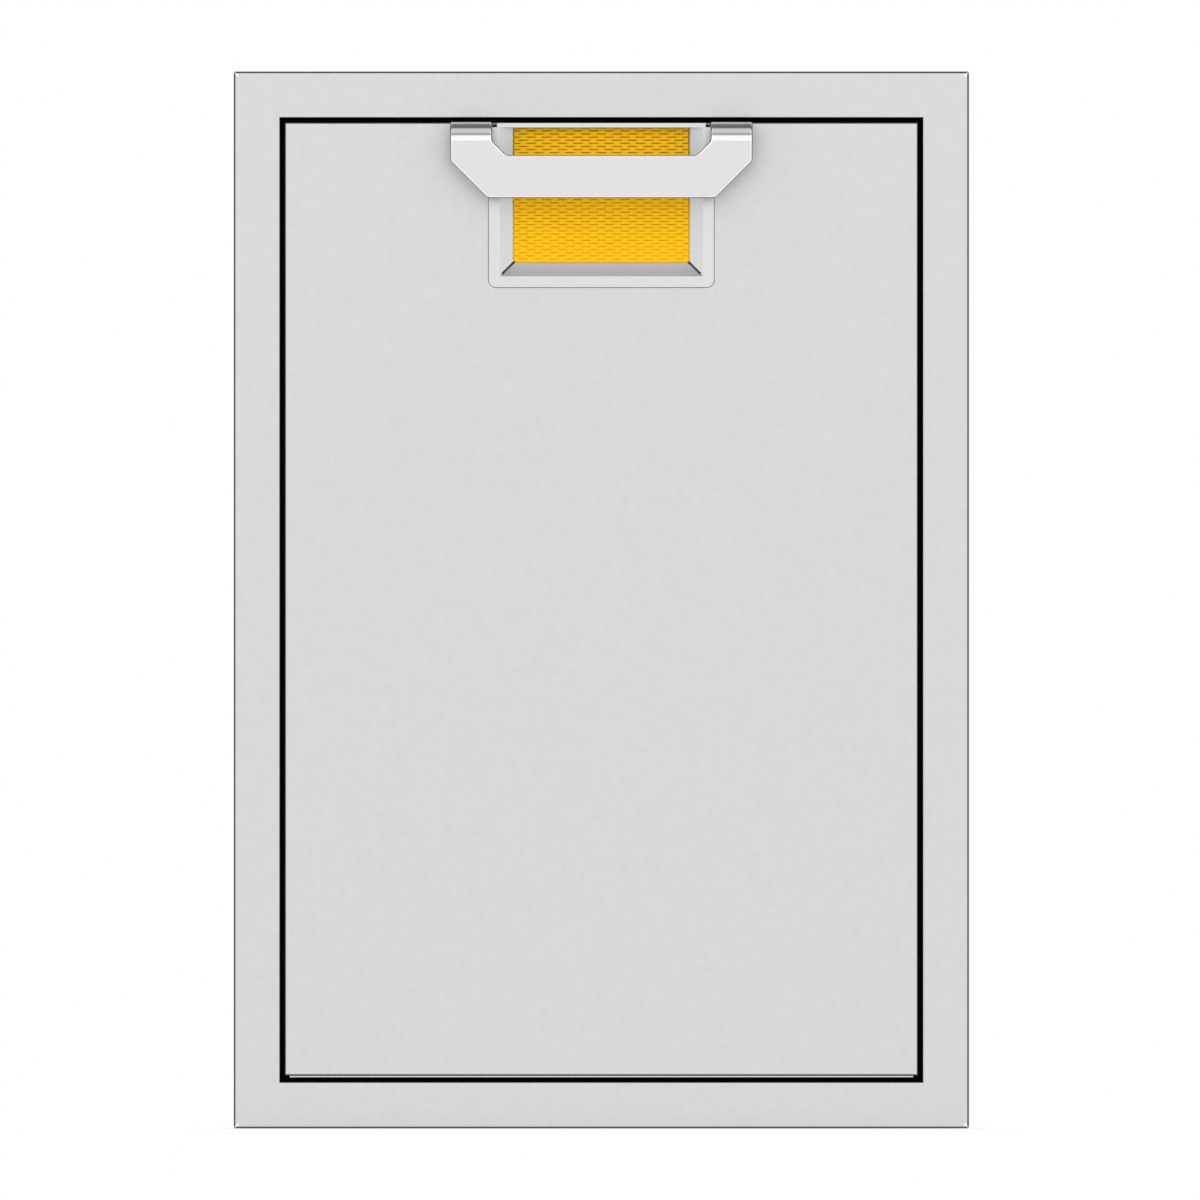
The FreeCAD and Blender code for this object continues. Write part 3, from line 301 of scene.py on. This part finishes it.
def mill_stainless():
    """Cold-rolled sheet as it leaves the mill: a dull sheen with faint streaks along the rolling."""
    material, tree = new_material("mill_finish_stainless")
    place = add(tree, "ShaderNodeTexCoord").outputs["Object"]
    rolled = add(tree, "ShaderNodeMapping", {"Vector": place, "Scale": (1.0, 0.03, 1.0)}).outputs["Vector"]
    streak = add(tree, "ShaderNodeTexNoise", {
        "Vector": rolled,
        "Scale": per_metre(2.5),
        "Detail": 4.0,
    }).outputs["Fac"]
    cloud = add(tree, "ShaderNodeTexNoise", {
        "Vector": place,
        "Scale": per_metre(60.0),
        "Detail": 3.0,
    }).outputs["Fac"]
    tones = {0: streak, MIX_A: linear("C4C5C7"), MIX_B: linear("D4D5D7")}
    gloss = {"Value": cloud, "To Min": 0.28, "To Max": 0.44}
    bump = add(tree, "ShaderNodeBump", {"Height": streak, "Strength": 0.25, "Distance": 0.01 * MM})
    shader = add(tree, "ShaderNodeBsdfPrincipled", {
        "Base Color": add(tree, "ShaderNodeMix", tones, data_type="RGBA").outputs[MIX_RESULT],
        "Metallic": 1.0,
        "Roughness": add(tree, "ShaderNodeMapRange", gloss).outputs["Result"],
        "Normal": bump.outputs["Normal"],
    })
    add(tree, "ShaderNodeOutputMaterial", {"Surface": shader.outputs["BSDF"]})
    return material


def zinc_plate():
    """Bright zinc on drawn steel: a cool grey with soft bluish and straw clouds.
    Its crystals are too fine to show, so their bump is drawn coarser."""
    material, tree = new_material("bright_zinc_plate")
    place = add(tree, "ShaderNodeTexCoord").outputs["Object"]
    cloud = add(tree, "ShaderNodeTexNoise", {
        "Vector": place,
        "Scale": per_metre(18.0),
        "Detail": 5.0,
    }).outputs["Fac"]
    fine = add(tree, "ShaderNodeTexNoise", {
        "Vector": place,
        "Scale": per_metre(1.2),
        "Detail": 2.0,
    }).outputs["Fac"]
    tones = {0: cloud, MIX_A: linear("A3ACB6"), MIX_B: linear("CCCBC2")}
    gloss = {"Value": cloud, "To Min": 0.28, "To Max": 0.42}
    bump = add(tree, "ShaderNodeBump", {"Height": fine, "Strength": 0.2, "Distance": 0.01 * MM})
    shader = add(tree, "ShaderNodeBsdfPrincipled", {
        "Base Color": add(tree, "ShaderNodeMix", tones, data_type="RGBA").outputs[MIX_RESULT],
        "Metallic": 1.0,
        "Roughness": add(tree, "ShaderNodeMapRange", gloss).outputs["Result"],
        "Normal": bump.outputs["Normal"],
    })
    add(tree, "ShaderNodeOutputMaterial", {"Surface": shader.outputs["BSDF"]})
    return material


def bearing_steel():
    """Ground and lapped balls: a near mirror with a trace of grease."""
    material, tree = new_material("lapped_bearing_steel")
    place = add(tree, "ShaderNodeTexCoord").outputs["Object"]
    film = add(tree, "ShaderNodeTexNoise", {"Vector": place, "Scale": per_metre(2.0)}).outputs["Fac"]
    tones = {0: film, MIX_A: linear("C8C8C9"), MIX_B: linear("DEDEE0")}
    gloss = {"Value": film, "To Min": 0.04, "To Max": 0.14}
    shader = add(tree, "ShaderNodeBsdfPrincipled", {
        "Base Color": add(tree, "ShaderNodeMix", tones, data_type="RGBA").outputs[MIX_RESULT],
        "Metallic": 1.0,
        "Roughness": add(tree, "ShaderNodeMapRange", gloss).outputs["Result"],
    })
    add(tree, "ShaderNodeOutputMaterial", {"Surface": shader.outputs["BSDF"]})
    return material


def plain_fastener_steel():
    """Cold-headed stainless: turned, slightly dull, uneven in tone."""
    material, tree = new_material("cold_headed_stainless")
    place = add(tree, "ShaderNodeTexCoord").outputs["Object"]
    tone = add(tree, "ShaderNodeTexNoise", {
        "Vector": place,
        "Scale": per_metre(3.0),
        "Detail": 3.0,
    }).outputs["Fac"]
    tones = {0: tone, MIX_A: linear("B0B0B2"), MIX_B: linear("D2D2D3")}
    gloss = {"Value": tone, "To Min": 0.28, "To Max": 0.38}
    bump = add(tree, "ShaderNodeBump", {"Height": tone, "Strength": 0.2, "Distance": 0.02 * MM})
    shader = add(tree, "ShaderNodeBsdfPrincipled", {
        "Base Color": add(tree, "ShaderNodeMix", tones, data_type="RGBA").outputs[MIX_RESULT],
        "Metallic": 1.0,
        "Roughness": add(tree, "ShaderNodeMapRange", gloss).outputs["Result"],
        "Normal": bump.outputs["Normal"],
    })
    add(tree, "ShaderNodeOutputMaterial", {"Surface": shader.outputs["BSDF"]})
    return material


# Coating, rubber and plastics


def yellow_powder_coat():
    """Baked powder coat: an even warm yellow, softly glossy, with a fine orange peel.
    It is painted darker where the sheet is pressed in, and more so towards the plate's top, as painted
    shade in the dashes."""
    material, tree = new_material("yellow_powder_coat")
    place = add(tree, "ShaderNodeTexCoord").outputs["Object"]
    peel = add(tree, "ShaderNodeTexNoise", {
        "Vector": place,
        "Scale": per_metre(0.9),
        "Detail": 2.0,
    }).outputs["Fac"]
    tone = add(tree, "ShaderNodeTexNoise", {
        "Vector": place,
        "Scale": per_metre(9.0),
        "Detail": 2.0,
    }).outputs["Fac"]
    plate_low, plate_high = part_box("accent_plate")
    along = add(tree, "ShaderNodeSeparateXYZ", {"Vector": place}).outputs
    pressing = {
        "Value": along["Y"],
        "From Min": plate_low.y + 2 * PAD_CROWN,
        "From Max": plate_low.y + DASH_DEPTH,
    }
    height = {
        "Value": along["Z"],
        "From Min": plate_low.z,
        "From Max": plate_high.z,
        "To Min": GROOVE_SHADE_AT_FOOT,
        "To Max": 1.0,
    }
    groove_shade = {
        0: add(tree, "ShaderNodeMapRange", pressing).outputs["Result"],
        1: add(tree, "ShaderNodeMapRange", height).outputs["Result"],
    }
    tones = {0: tone, MIX_A: linear("FABF08"), MIX_B: linear("FFC90E")}
    # Painted shade: the pressed dashes go to a dark brown, more so towards the top
    parts = {
        0: add(tree, "ShaderNodeMath", groove_shade, operation="MULTIPLY").outputs[0],
        MIX_A: add(tree, "ShaderNodeMix", tones, data_type="RGBA").outputs[MIX_RESULT],
        MIX_B: linear("8E5E02"),
    }
    gloss = {"Value": peel, "To Min": 0.34, "To Max": 0.50}
    bump = add(tree, "ShaderNodeBump", {"Height": peel, "Strength": 0.3, "Distance": 0.02 * MM})
    shader = add(tree, "ShaderNodeBsdfPrincipled", {
        "Base Color": add(tree, "ShaderNodeMix", parts, data_type="RGBA").outputs[MIX_RESULT],
        "Roughness": add(tree, "ShaderNodeMapRange", gloss).outputs["Result"],
        "IOR": 1.5,
        "Specular IOR Level": 0.15,
        "Normal": bump.outputs["Normal"],
    })
    add(tree, "ShaderNodeOutputMaterial", {"Surface": shader.outputs["BSDF"]})
    return material


def epdm_rubber():
    """Extruded EPDM: matt black with a faint chalky bloom."""
    material, tree = new_material("extruded_epdm")
    place = add(tree, "ShaderNodeTexCoord").outputs["Object"]
    bloom = add(tree, "ShaderNodeTexNoise", {
        "Vector": place,
        "Scale": per_metre(6.0),
        "Detail": 5.0,
    }).outputs["Fac"]
    fine = add(tree, "ShaderNodeTexNoise", {"Vector": place, "Scale": per_metre(0.6)}).outputs["Fac"]
    tones = {0: bloom, MIX_A: linear("080808"), MIX_B: linear("141414")}
    gloss = {"Value": bloom, "To Min": 0.70, "To Max": 0.88}
    bump = add(tree, "ShaderNodeBump", {"Height": fine, "Strength": 0.3, "Distance": 0.03 * MM})
    shader = add(tree, "ShaderNodeBsdfPrincipled", {
        "Base Color": add(tree, "ShaderNodeMix", tones, data_type="RGBA").outputs[MIX_RESULT],
        "Roughness": add(tree, "ShaderNodeMapRange", gloss).outputs["Result"],
        "IOR": 1.5,
        "Specular IOR Level": 0.25,
        "Normal": bump.outputs["Normal"],
    })
    add(tree, "ShaderNodeOutputMaterial", {"Surface": shader.outputs["BSDF"]})
    return material


def gap_shade_black():
    """Near-black matt sheet with no sheen, as painted shade for the gap round the front.
    Its tone and bump vary in small tufts."""
    material, tree = new_material("painted_gap_shade")
    place = add(tree, "ShaderNodeTexCoord").outputs["Object"]
    tuft = add(tree, "ShaderNodeTexNoise", {
        "Vector": place,
        "Scale": per_metre(0.5),
        "Detail": 2.0,
    }).outputs["Fac"]
    tones = {0: tuft, MIX_A: linear("030303"), MIX_B: linear("0E0E0E")}
    bump = add(tree, "ShaderNodeBump", {"Height": tuft, "Strength": 0.6, "Distance": 0.1 * MM})
    shader = add(tree, "ShaderNodeBsdfPrincipled", {
        "Base Color": add(tree, "ShaderNodeMix", tones, data_type="RGBA").outputs[MIX_RESULT],
        "Roughness": 1.0,
        "Specular IOR Level": 0.0,
        "Normal": bump.outputs["Normal"],
    })
    add(tree, "ShaderNodeOutputMaterial", {"Surface": shader.outputs["BSDF"]})
    return material


def black_acetal():
    """Moulded acetal: smooth, waxy black."""
    material, tree = new_material("moulded_acetal")
    place = add(tree, "ShaderNodeTexCoord").outputs["Object"]
    tone = add(tree, "ShaderNodeTexNoise", {"Vector": place, "Scale": per_metre(4.0)}).outputs["Fac"]
    tones = {0: tone, MIX_A: linear("111112"), MIX_B: linear("1E1E20")}
    gloss = {"Value": tone, "To Min": 0.28, "To Max": 0.42}
    shader = add(tree, "ShaderNodeBsdfPrincipled", {
        "Base Color": add(tree, "ShaderNodeMix", tones, data_type="RGBA").outputs[MIX_RESULT],
        "Roughness": add(tree, "ShaderNodeMapRange", gloss).outputs["Result"],
        "IOR": 1.48,
    })
    add(tree, "ShaderNodeOutputMaterial", {"Surface": shader.outputs["BSDF"]})
    return material


def slate_polypropylene():
    """Moulded polypropylene: slate grey, with a spark-eroded texture and a soft sheen.
    The real texture is too fine to show, so it is drawn coarser."""
    material, tree = new_material("moulded_polypropylene")
    place = add(tree, "ShaderNodeTexCoord").outputs["Object"]
    texture = add(tree, "ShaderNodeTexNoise", {
        "Vector": place,
        "Scale": per_metre(1.4),
        "Detail": 2.0,
    }).outputs["Fac"]
    tone = add(tree, "ShaderNodeTexNoise", {
        "Vector": place,
        "Scale": per_metre(45.0),
        "Detail": 3.0,
    }).outputs["Fac"]
    tones = {0: tone, MIX_A: linear("585B5E"), MIX_B: linear("5F6266")}
    gloss = {"Value": texture, "To Min": 0.46, "To Max": 0.66}
    bump = add(tree, "ShaderNodeBump", {"Height": texture, "Strength": 0.4, "Distance": 0.06 * MM})
    shader = add(tree, "ShaderNodeBsdfPrincipled", {
        "Base Color": add(tree, "ShaderNodeMix", tones, data_type="RGBA").outputs[MIX_RESULT],
        "Roughness": add(tree, "ShaderNodeMapRange", gloss).outputs["Result"],
        "IOR": 1.49,
        "Normal": bump.outputs["Normal"],
    })
    add(tree, "ShaderNodeOutputMaterial", {"Surface": shader.outputs["BSDF"]})
    return material


FINISHES = {
    "satin_stainless": satin_stainless(),
    "pocket_stainless": pressed_stainless(),
    "pull_stainless": polished_stainless(),
    "accent_yellow": yellow_powder_coat(),
    "mill_stainless": mill_stainless(),
    "zinc_plated_steel": zinc_plate(),
    "ball_steel": bearing_steel(),
    "fastener_steel": plain_fastener_steel(),
    "seal_rubber": epdm_rubber(),
    "lever_plastic": black_acetal(),
    "bin_plastic": slate_polypropylene(),
}


def finish_cad_nodes():
    """Gives each CAD node the finish of its material slot in the record."""
    for part in frame["record"]["subparts"]:
        node = frame["nodes"][part["node"]]
        node.data.materials.clear()
        node.data.materials.append(FINISHES[part["material_slot"]])


# Pressed yellow plate


def select_points(piece, test):
    """Selects, in edit mode, the points that pass a test on their place."""
    mesh = bmesh.from_edit_mesh(piece.data)
    for vertex in mesh.verts:
        vertex.select = test(vertex.co)
    mesh.select_flush_mode()
    bmesh.update_edit_mesh(piece.data)


def repeat(piece, step, count):
    """Applied array with its seams merged."""
    array = piece.modifiers.new("repeat", "ARRAY")
    array.count = count
    array.use_relative_offset = False
    array.use_constant_offset = True
    array.constant_offset_displace = step
    array.use_merge_vertices = True
    array.merge_threshold = MERGE_DISTANCE
    bpy.ops.object.modifier_apply(modifier=array.name)


def dash_cell(corner):
    """One dash in its cell, pressed in along the middle, with crowned pads at both ends."""
    middle = corner + Vector((DASH_PERIOD / 2, 0, DASH_PITCH / 2))
    column = DASH_PERIOD / CELL_COLUMNS
    row = DASH_PITCH / CELL_ROWS
    flat = DASH_FLAT_COLUMNS * column
    bpy.ops.object.select_all(action="DESELECT")
    bpy.ops.mesh.primitive_grid_add(
        x_subdivisions=CELL_COLUMNS,
        y_subdivisions=CELL_ROWS,
        size=1,
        rotation=(math.pi / 2, 0, 0),
    )
    cell = bpy.context.active_object
    cell.scale = (DASH_PERIOD, DASH_PITCH, 1)
    cell.location = middle
    bpy.ops.object.transform_apply(location=True, rotation=True, scale=True)

    def on_middle_row(point):
        return abs(point.z - middle.z) < row / 2

    bpy.ops.object.mode_set(mode="EDIT")
    select_points(cell, lambda p: on_middle_row(p) and abs(p.x - middle.x) < flat + column / 2)
    bpy.ops.transform.translate(value=(0, DASH_DEPTH, 0))
    select_points(cell, lambda p: on_middle_row(p) and abs(p.x - middle.x) > flat + 1.5 * column)
    bpy.ops.transform.translate(value=(0, -PAD_CROWN, 0))
    bpy.ops.object.mode_set(mode="OBJECT")
    return cell


def dash_sheet(low, high):
    """Staggered rows of dashes that cover a little more than the plain plate's box."""
    columns = math.ceil((high.x - low.x) / DASH_PERIOD) + 2
    row_pairs = math.ceil((high.z - low.z) / DASH_PITCH / 2) + 1
    front = low.y + PAD_CROWN
    corner = Vector((-columns * DASH_PERIOD / 2, front, low.z - DASH_PITCH / 2))
    sheet = dash_cell(corner)
    repeat(sheet, (DASH_PERIOD, 0, 0), columns)
    bpy.ops.object.duplicate()
    bpy.ops.transform.translate(value=(DASH_PERIOD / 2, 0, DASH_PITCH))
    bpy.ops.object.transform_apply(location=True, rotation=True, scale=True)
    sheet.select_set(True)
    bpy.context.view_layer.objects.active = sheet
    bpy.ops.object.join()
    repeat(sheet, (0, 0, 2 * DASH_PITCH), row_pairs)
    return sheet


def cut_to_plate(low, high):
    """Cuts the active sheet to the plain plate's outline, and closes it with sloped sides and a back."""
    back_half_width = high.x + PLATE_SPREAD
    back_bottom = low.z - PLATE_SPREAD
    half_width = back_half_width - PLATE_CHAMFER
    bottom = back_bottom + PLATE_CHAMFER
    cuts = [((0, 0, bottom), (0, 0, -1)), (high, (0, 0, 1))]
    for side in (-1, 1):
        cuts.append(((side * half_width, 0, 0), (side, 0, 0)))
        cuts.append(((side * half_width, 0, bottom + PLATE_CORNER), (side, 0, -1)))
    bpy.ops.object.mode_set(mode="EDIT")
    bpy.ops.mesh.select_all(action="SELECT")
    bpy.ops.mesh.remove_doubles(threshold=MERGE_DISTANCE)
    for place, outward in cuts:
        bpy.ops.mesh.select_all(action="SELECT")
        bpy.ops.mesh.bisect(plane_co=place, plane_no=outward, clear_outer=True, threshold=MERGE_DISTANCE)
    bpy.ops.mesh.select_all(action="DESELECT")
    bpy.ops.mesh.select_mode(type="EDGE")
    bpy.ops.mesh.select_non_manifold()
    bpy.ops.mesh.extrude_region_move()
    # A factor of 0 in depth lays the new rim flat on the plate's back
    widen = (back_half_width / half_width, 0, (high.z - back_bottom) / (high.z - bottom))
    bpy.ops.transform.resize(value=widen, center_override=(0, high.y, high.z))
    bpy.ops.mesh.edge_face_add()
    bpy.ops.mesh.select_mode(type="VERT")
    bpy.ops.mesh.select_all(action="SELECT")
    bpy.ops.mesh.normals_make_consistent(inside=False)
    bpy.ops.object.mode_set(mode="OBJECT")


def pressed_plate():
    """Yellow plate with its pressed pattern, in the place of the plain plate."""
    low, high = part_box("accent_plate")
    plate = dash_sheet(low, high)
    plate.name = "pressed_accent_plate"
    cut_to_plate(low, high)
    bpy.ops.object.shade_smooth_by_angle(angle=SMOOTH_ANGLE)
    plate.data.materials.append(FINISHES["accent_yellow"])
    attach(plate, "drawer")
    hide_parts("accent_plate")


# Black strip in the gap round the front, as painted shade


def jamb_strip():
    """Thin strip all round the inside of the jamb, with a lip behind the seal. It is painted shade: a
    black sheet that keeps the gap dark.
    """
    seal_low, seal_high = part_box("front_seal")
    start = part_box("trim_frame")[0].y + STRIP_START
    lip = seal_high.y + LIP_TO_SEAL
    middle = (seal_low.z + seal_high.z) / 2
    width = seal_high.x - seal_low.x + 2 * STRIP_TO_SEAL
    height = seal_high.z - seal_low.z + 2 * STRIP_TO_SEAL
    bpy.ops.object.select_all(action="DESELECT")
    bpy.ops.mesh.primitive_plane_add(size=1, rotation=(math.pi / 2, 0, 0))
    strip = bpy.context.active_object
    strip.name = "jamb_strip"
    strip.scale = (width, height, 1)
    strip.location = (0, start, middle)
    bpy.ops.object.transform_apply(location=True, rotation=True, scale=True)
    bpy.ops.object.mode_set(mode="EDIT")
    bpy.ops.mesh.select_all(action="SELECT")
    bpy.ops.mesh.delete(type="ONLY_FACE")
    bpy.ops.mesh.select_all(action="SELECT")
    bpy.ops.mesh.extrude_region_move(TRANSFORM_OT_translate={"value": (0, lip - start, 0)})
    bpy.ops.mesh.extrude_region_move()
    narrow = (1 - 2 * LIP_HEIGHT / width, 1, 1 - 2 * LIP_HEIGHT / height)
    bpy.ops.transform.resize(value=narrow, center_override=(0, lip, middle))
    bpy.ops.mesh.select_all(action="SELECT")
    bpy.ops.mesh.normals_make_consistent(inside=False)
    bpy.ops.object.mode_set(mode="OBJECT")
    wall = strip.modifiers.new("wall", "SOLIDIFY")
    wall.thickness = STRIP_SHEET
    wall.use_even_offset = True
    bpy.ops.object.modifier_apply(modifier=wall.name)
    strip.data.materials.append(gap_shade_black())
    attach(strip, "housing")


# Studio


def seen_or_mirrored(tree):
    """1 for what the camera sees, straight or in a reflection or through glass."""
    path = add(tree, "ShaderNodeLightPath").outputs
    seen = {0: path["Is Camera Ray"], 1: path["Is Glossy Ray"]}
    through = {
        0: add(tree, "ShaderNodeMath", seen, operation="MAXIMUM").outputs[0],
        1: path["Is Transmission Ray"],
    }
    return add(tree, "ShaderNodeMath", through, operation="MAXIMUM").outputs[0]


def white_world():
    """White to the camera and in the metal, and a plain even light elsewhere."""
    world = bpy.data.worlds.new("studio")
    bpy.context.scene.world = world
    world.use_nodes = True
    tree = world.node_tree
    tree.nodes.clear()
    light = add(tree, "ShaderNodeBackground", {"Strength": AMBIENT, "Color": linear("FFFFFF")})
    white = add(tree, "ShaderNodeBackground", {"Strength": 1.0, "Color": linear("FFFFFF")})
    shader = add(tree, "ShaderNodeMixShader", {
        "Fac": seen_or_mirrored(tree),
        1: light.outputs["Background"],
        2: white.outputs["Background"],
    })
    add(tree, "ShaderNodeOutputWorld", {"Surface": shader.outputs["Shader"]})


def floor_paint():
    """Pale matt floor that the camera sees as white, with the soft shadow where the object stands."""
    material, tree = new_material("floor_paint")
    material.cycles.emission_sampling = "NONE"
    shade = add(tree, "ShaderNodeAmbientOcclusion", {"Distance": CONTACT_SHADOW}, samples=SHADOW_SAMPLES)
    shadow = {"Value": shade.outputs["AO"], "To Min": SHADOW_LEVEL, "To Max": 1.0}
    level = add(tree, "ShaderNodeMapRange", shadow)
    white = add(tree, "ShaderNodeEmission", {"Strength": level.outputs["Result"]})
    matt = add(tree, "ShaderNodeBsdfDiffuse", {"Color": linear(FLOOR_TONE)})
    shader = add(tree, "ShaderNodeMixShader", {
        "Fac": seen_or_mirrored(tree),
        1: matt.outputs["BSDF"],
        2: white.outputs["Emission"],
    })
    add(tree, "ShaderNodeOutputMaterial", {"Surface": shader.outputs["Shader"]})
    return material


def floor():
    """Wide floor under the object."""
    bpy.ops.object.select_all(action="DESELECT")
    bpy.ops.mesh.primitive_plane_add(size=FLOOR_SIZE, location=(0, 0, cad_low.z))
    plane = bpy.context.active_object
    plane.name = "studio_floor"
    plane.data.materials.append(floor_paint())


def toward_object(azimuth, elevation):
    """Place and turn of something at an angle round the object, facing it. Azimuth 0 is in front."""
    a = math.radians(azimuth)
    e = math.radians(elevation)
    out = Vector((math.sin(a) * math.cos(e), -math.cos(a) * math.cos(e), math.sin(e)))
    return out * STUDIO_RADIUS, out.to_track_quat("Z", "Y").to_euler()


def span(degrees):
    """Size of a lamp or card that covers an angle."""
    return 2 * STUDIO_RADIUS * math.tan(math.radians(degrees / 2))


def softbox(name, azimuth, elevation, size, radiance):
    """Wide lamp that faces the object. Its size is its width and height."""
    width, height = size
    place, turn = toward_object(azimuth, elevation)
    bpy.ops.object.light_add(type="AREA", location=place, rotation=turn)
    lamp = bpy.context.active_object
    lamp.name = name
    lamp.data.shape = "RECTANGLE"
    lamp.data.size = width
    lamp.data.size_y = height
    lamp.data.energy = radiance * math.pi * width * height


def grey_card(name, azimuth, elevation, size, level):
    """Card that shows only in the metal, as a band of a grey level. Its size is its width and height."""
    material, tree = new_material(name)
    material.cycles.emission_sampling = "NONE"
    glow = add(tree, "ShaderNodeEmission", {"Strength": level})
    add(tree, "ShaderNodeOutputMaterial", {"Surface": glow.outputs["Emission"]})
    place, turn = toward_object(azimuth, elevation)
    bpy.ops.object.select_all(action="DESELECT")
    bpy.ops.mesh.primitive_plane_add(size=1, location=place, rotation=turn)
    card = bpy.context.active_object
    card.name = name
    card.scale = (*size, 1)
    card.data.materials.append(material)
    card.visible_camera = False
    card.visible_diffuse = False
    card.visible_shadow = False


def studio():
    """White all round, one lamp in front, and the grey cards that the metal mirrors."""
    white_world()
    floor()
    softbox("front_softbox", azimuth=0, elevation=19, size=(STUDIO_WIDTH / 2, span(30)), radiance=0.4)
    grey_card("strip_card", azimuth=0, elevation=44, size=(STUDIO_WIDTH, span(14)), level=0.45)
    grey_card("overhead_card", azimuth=0, elevation=67.5, size=(STUDIO_WIDTH, span(31)), level=0.85)
    grey_card("rear_overhead_card", azimuth=180, elevation=74.5, size=(STUDIO_WIDTH, span(45)), level=0.19)
    for side in (-1, 1):
        grey_card("side_card", azimuth=side * 76, elevation=5, size=(span(30), span(60)), level=0.82)
        grey_card("rear_side_card", azimuth=side * 130, elevation=5, size=(span(60), span(60)), level=0.35)


def camera():
    """Straight on to the front, framed as in the photograph."""
    low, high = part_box("trim_frame")
    scale = (high.x - low.x) / (TRIM_RIGHT_PX - TRIM_LEFT_PX)
    distance = PHOTO_PIXELS * scale * LENS / SENSOR
    off_x = (PHOTO_PIXELS - TRIM_LEFT_PX - TRIM_RIGHT_PX) / 2 * scale
    off_z = (TRIM_TOP_PX + TRIM_BOTTOM_PX - PHOTO_PIXELS) / 2 * scale
    data = bpy.data.cameras.new("photo_camera")
    data.lens = LENS
    data.sensor_width = SENSOR
    data.clip_end = 10 * distance
    made = bpy.data.objects.new("photo_camera", data)
    bpy.context.scene.collection.objects.link(made)
    made.location = (off_x, low.y - distance, (low.z + high.z) / 2 + off_z)
    made.rotation_euler = (math.pi / 2, 0, 0)
    bpy.context.scene.camera = made


finish_cad_nodes()
pressed_plate()
jamb_strip()
studio()
camera()
bpy.context.scene.view_settings.view_transform = "Standard"
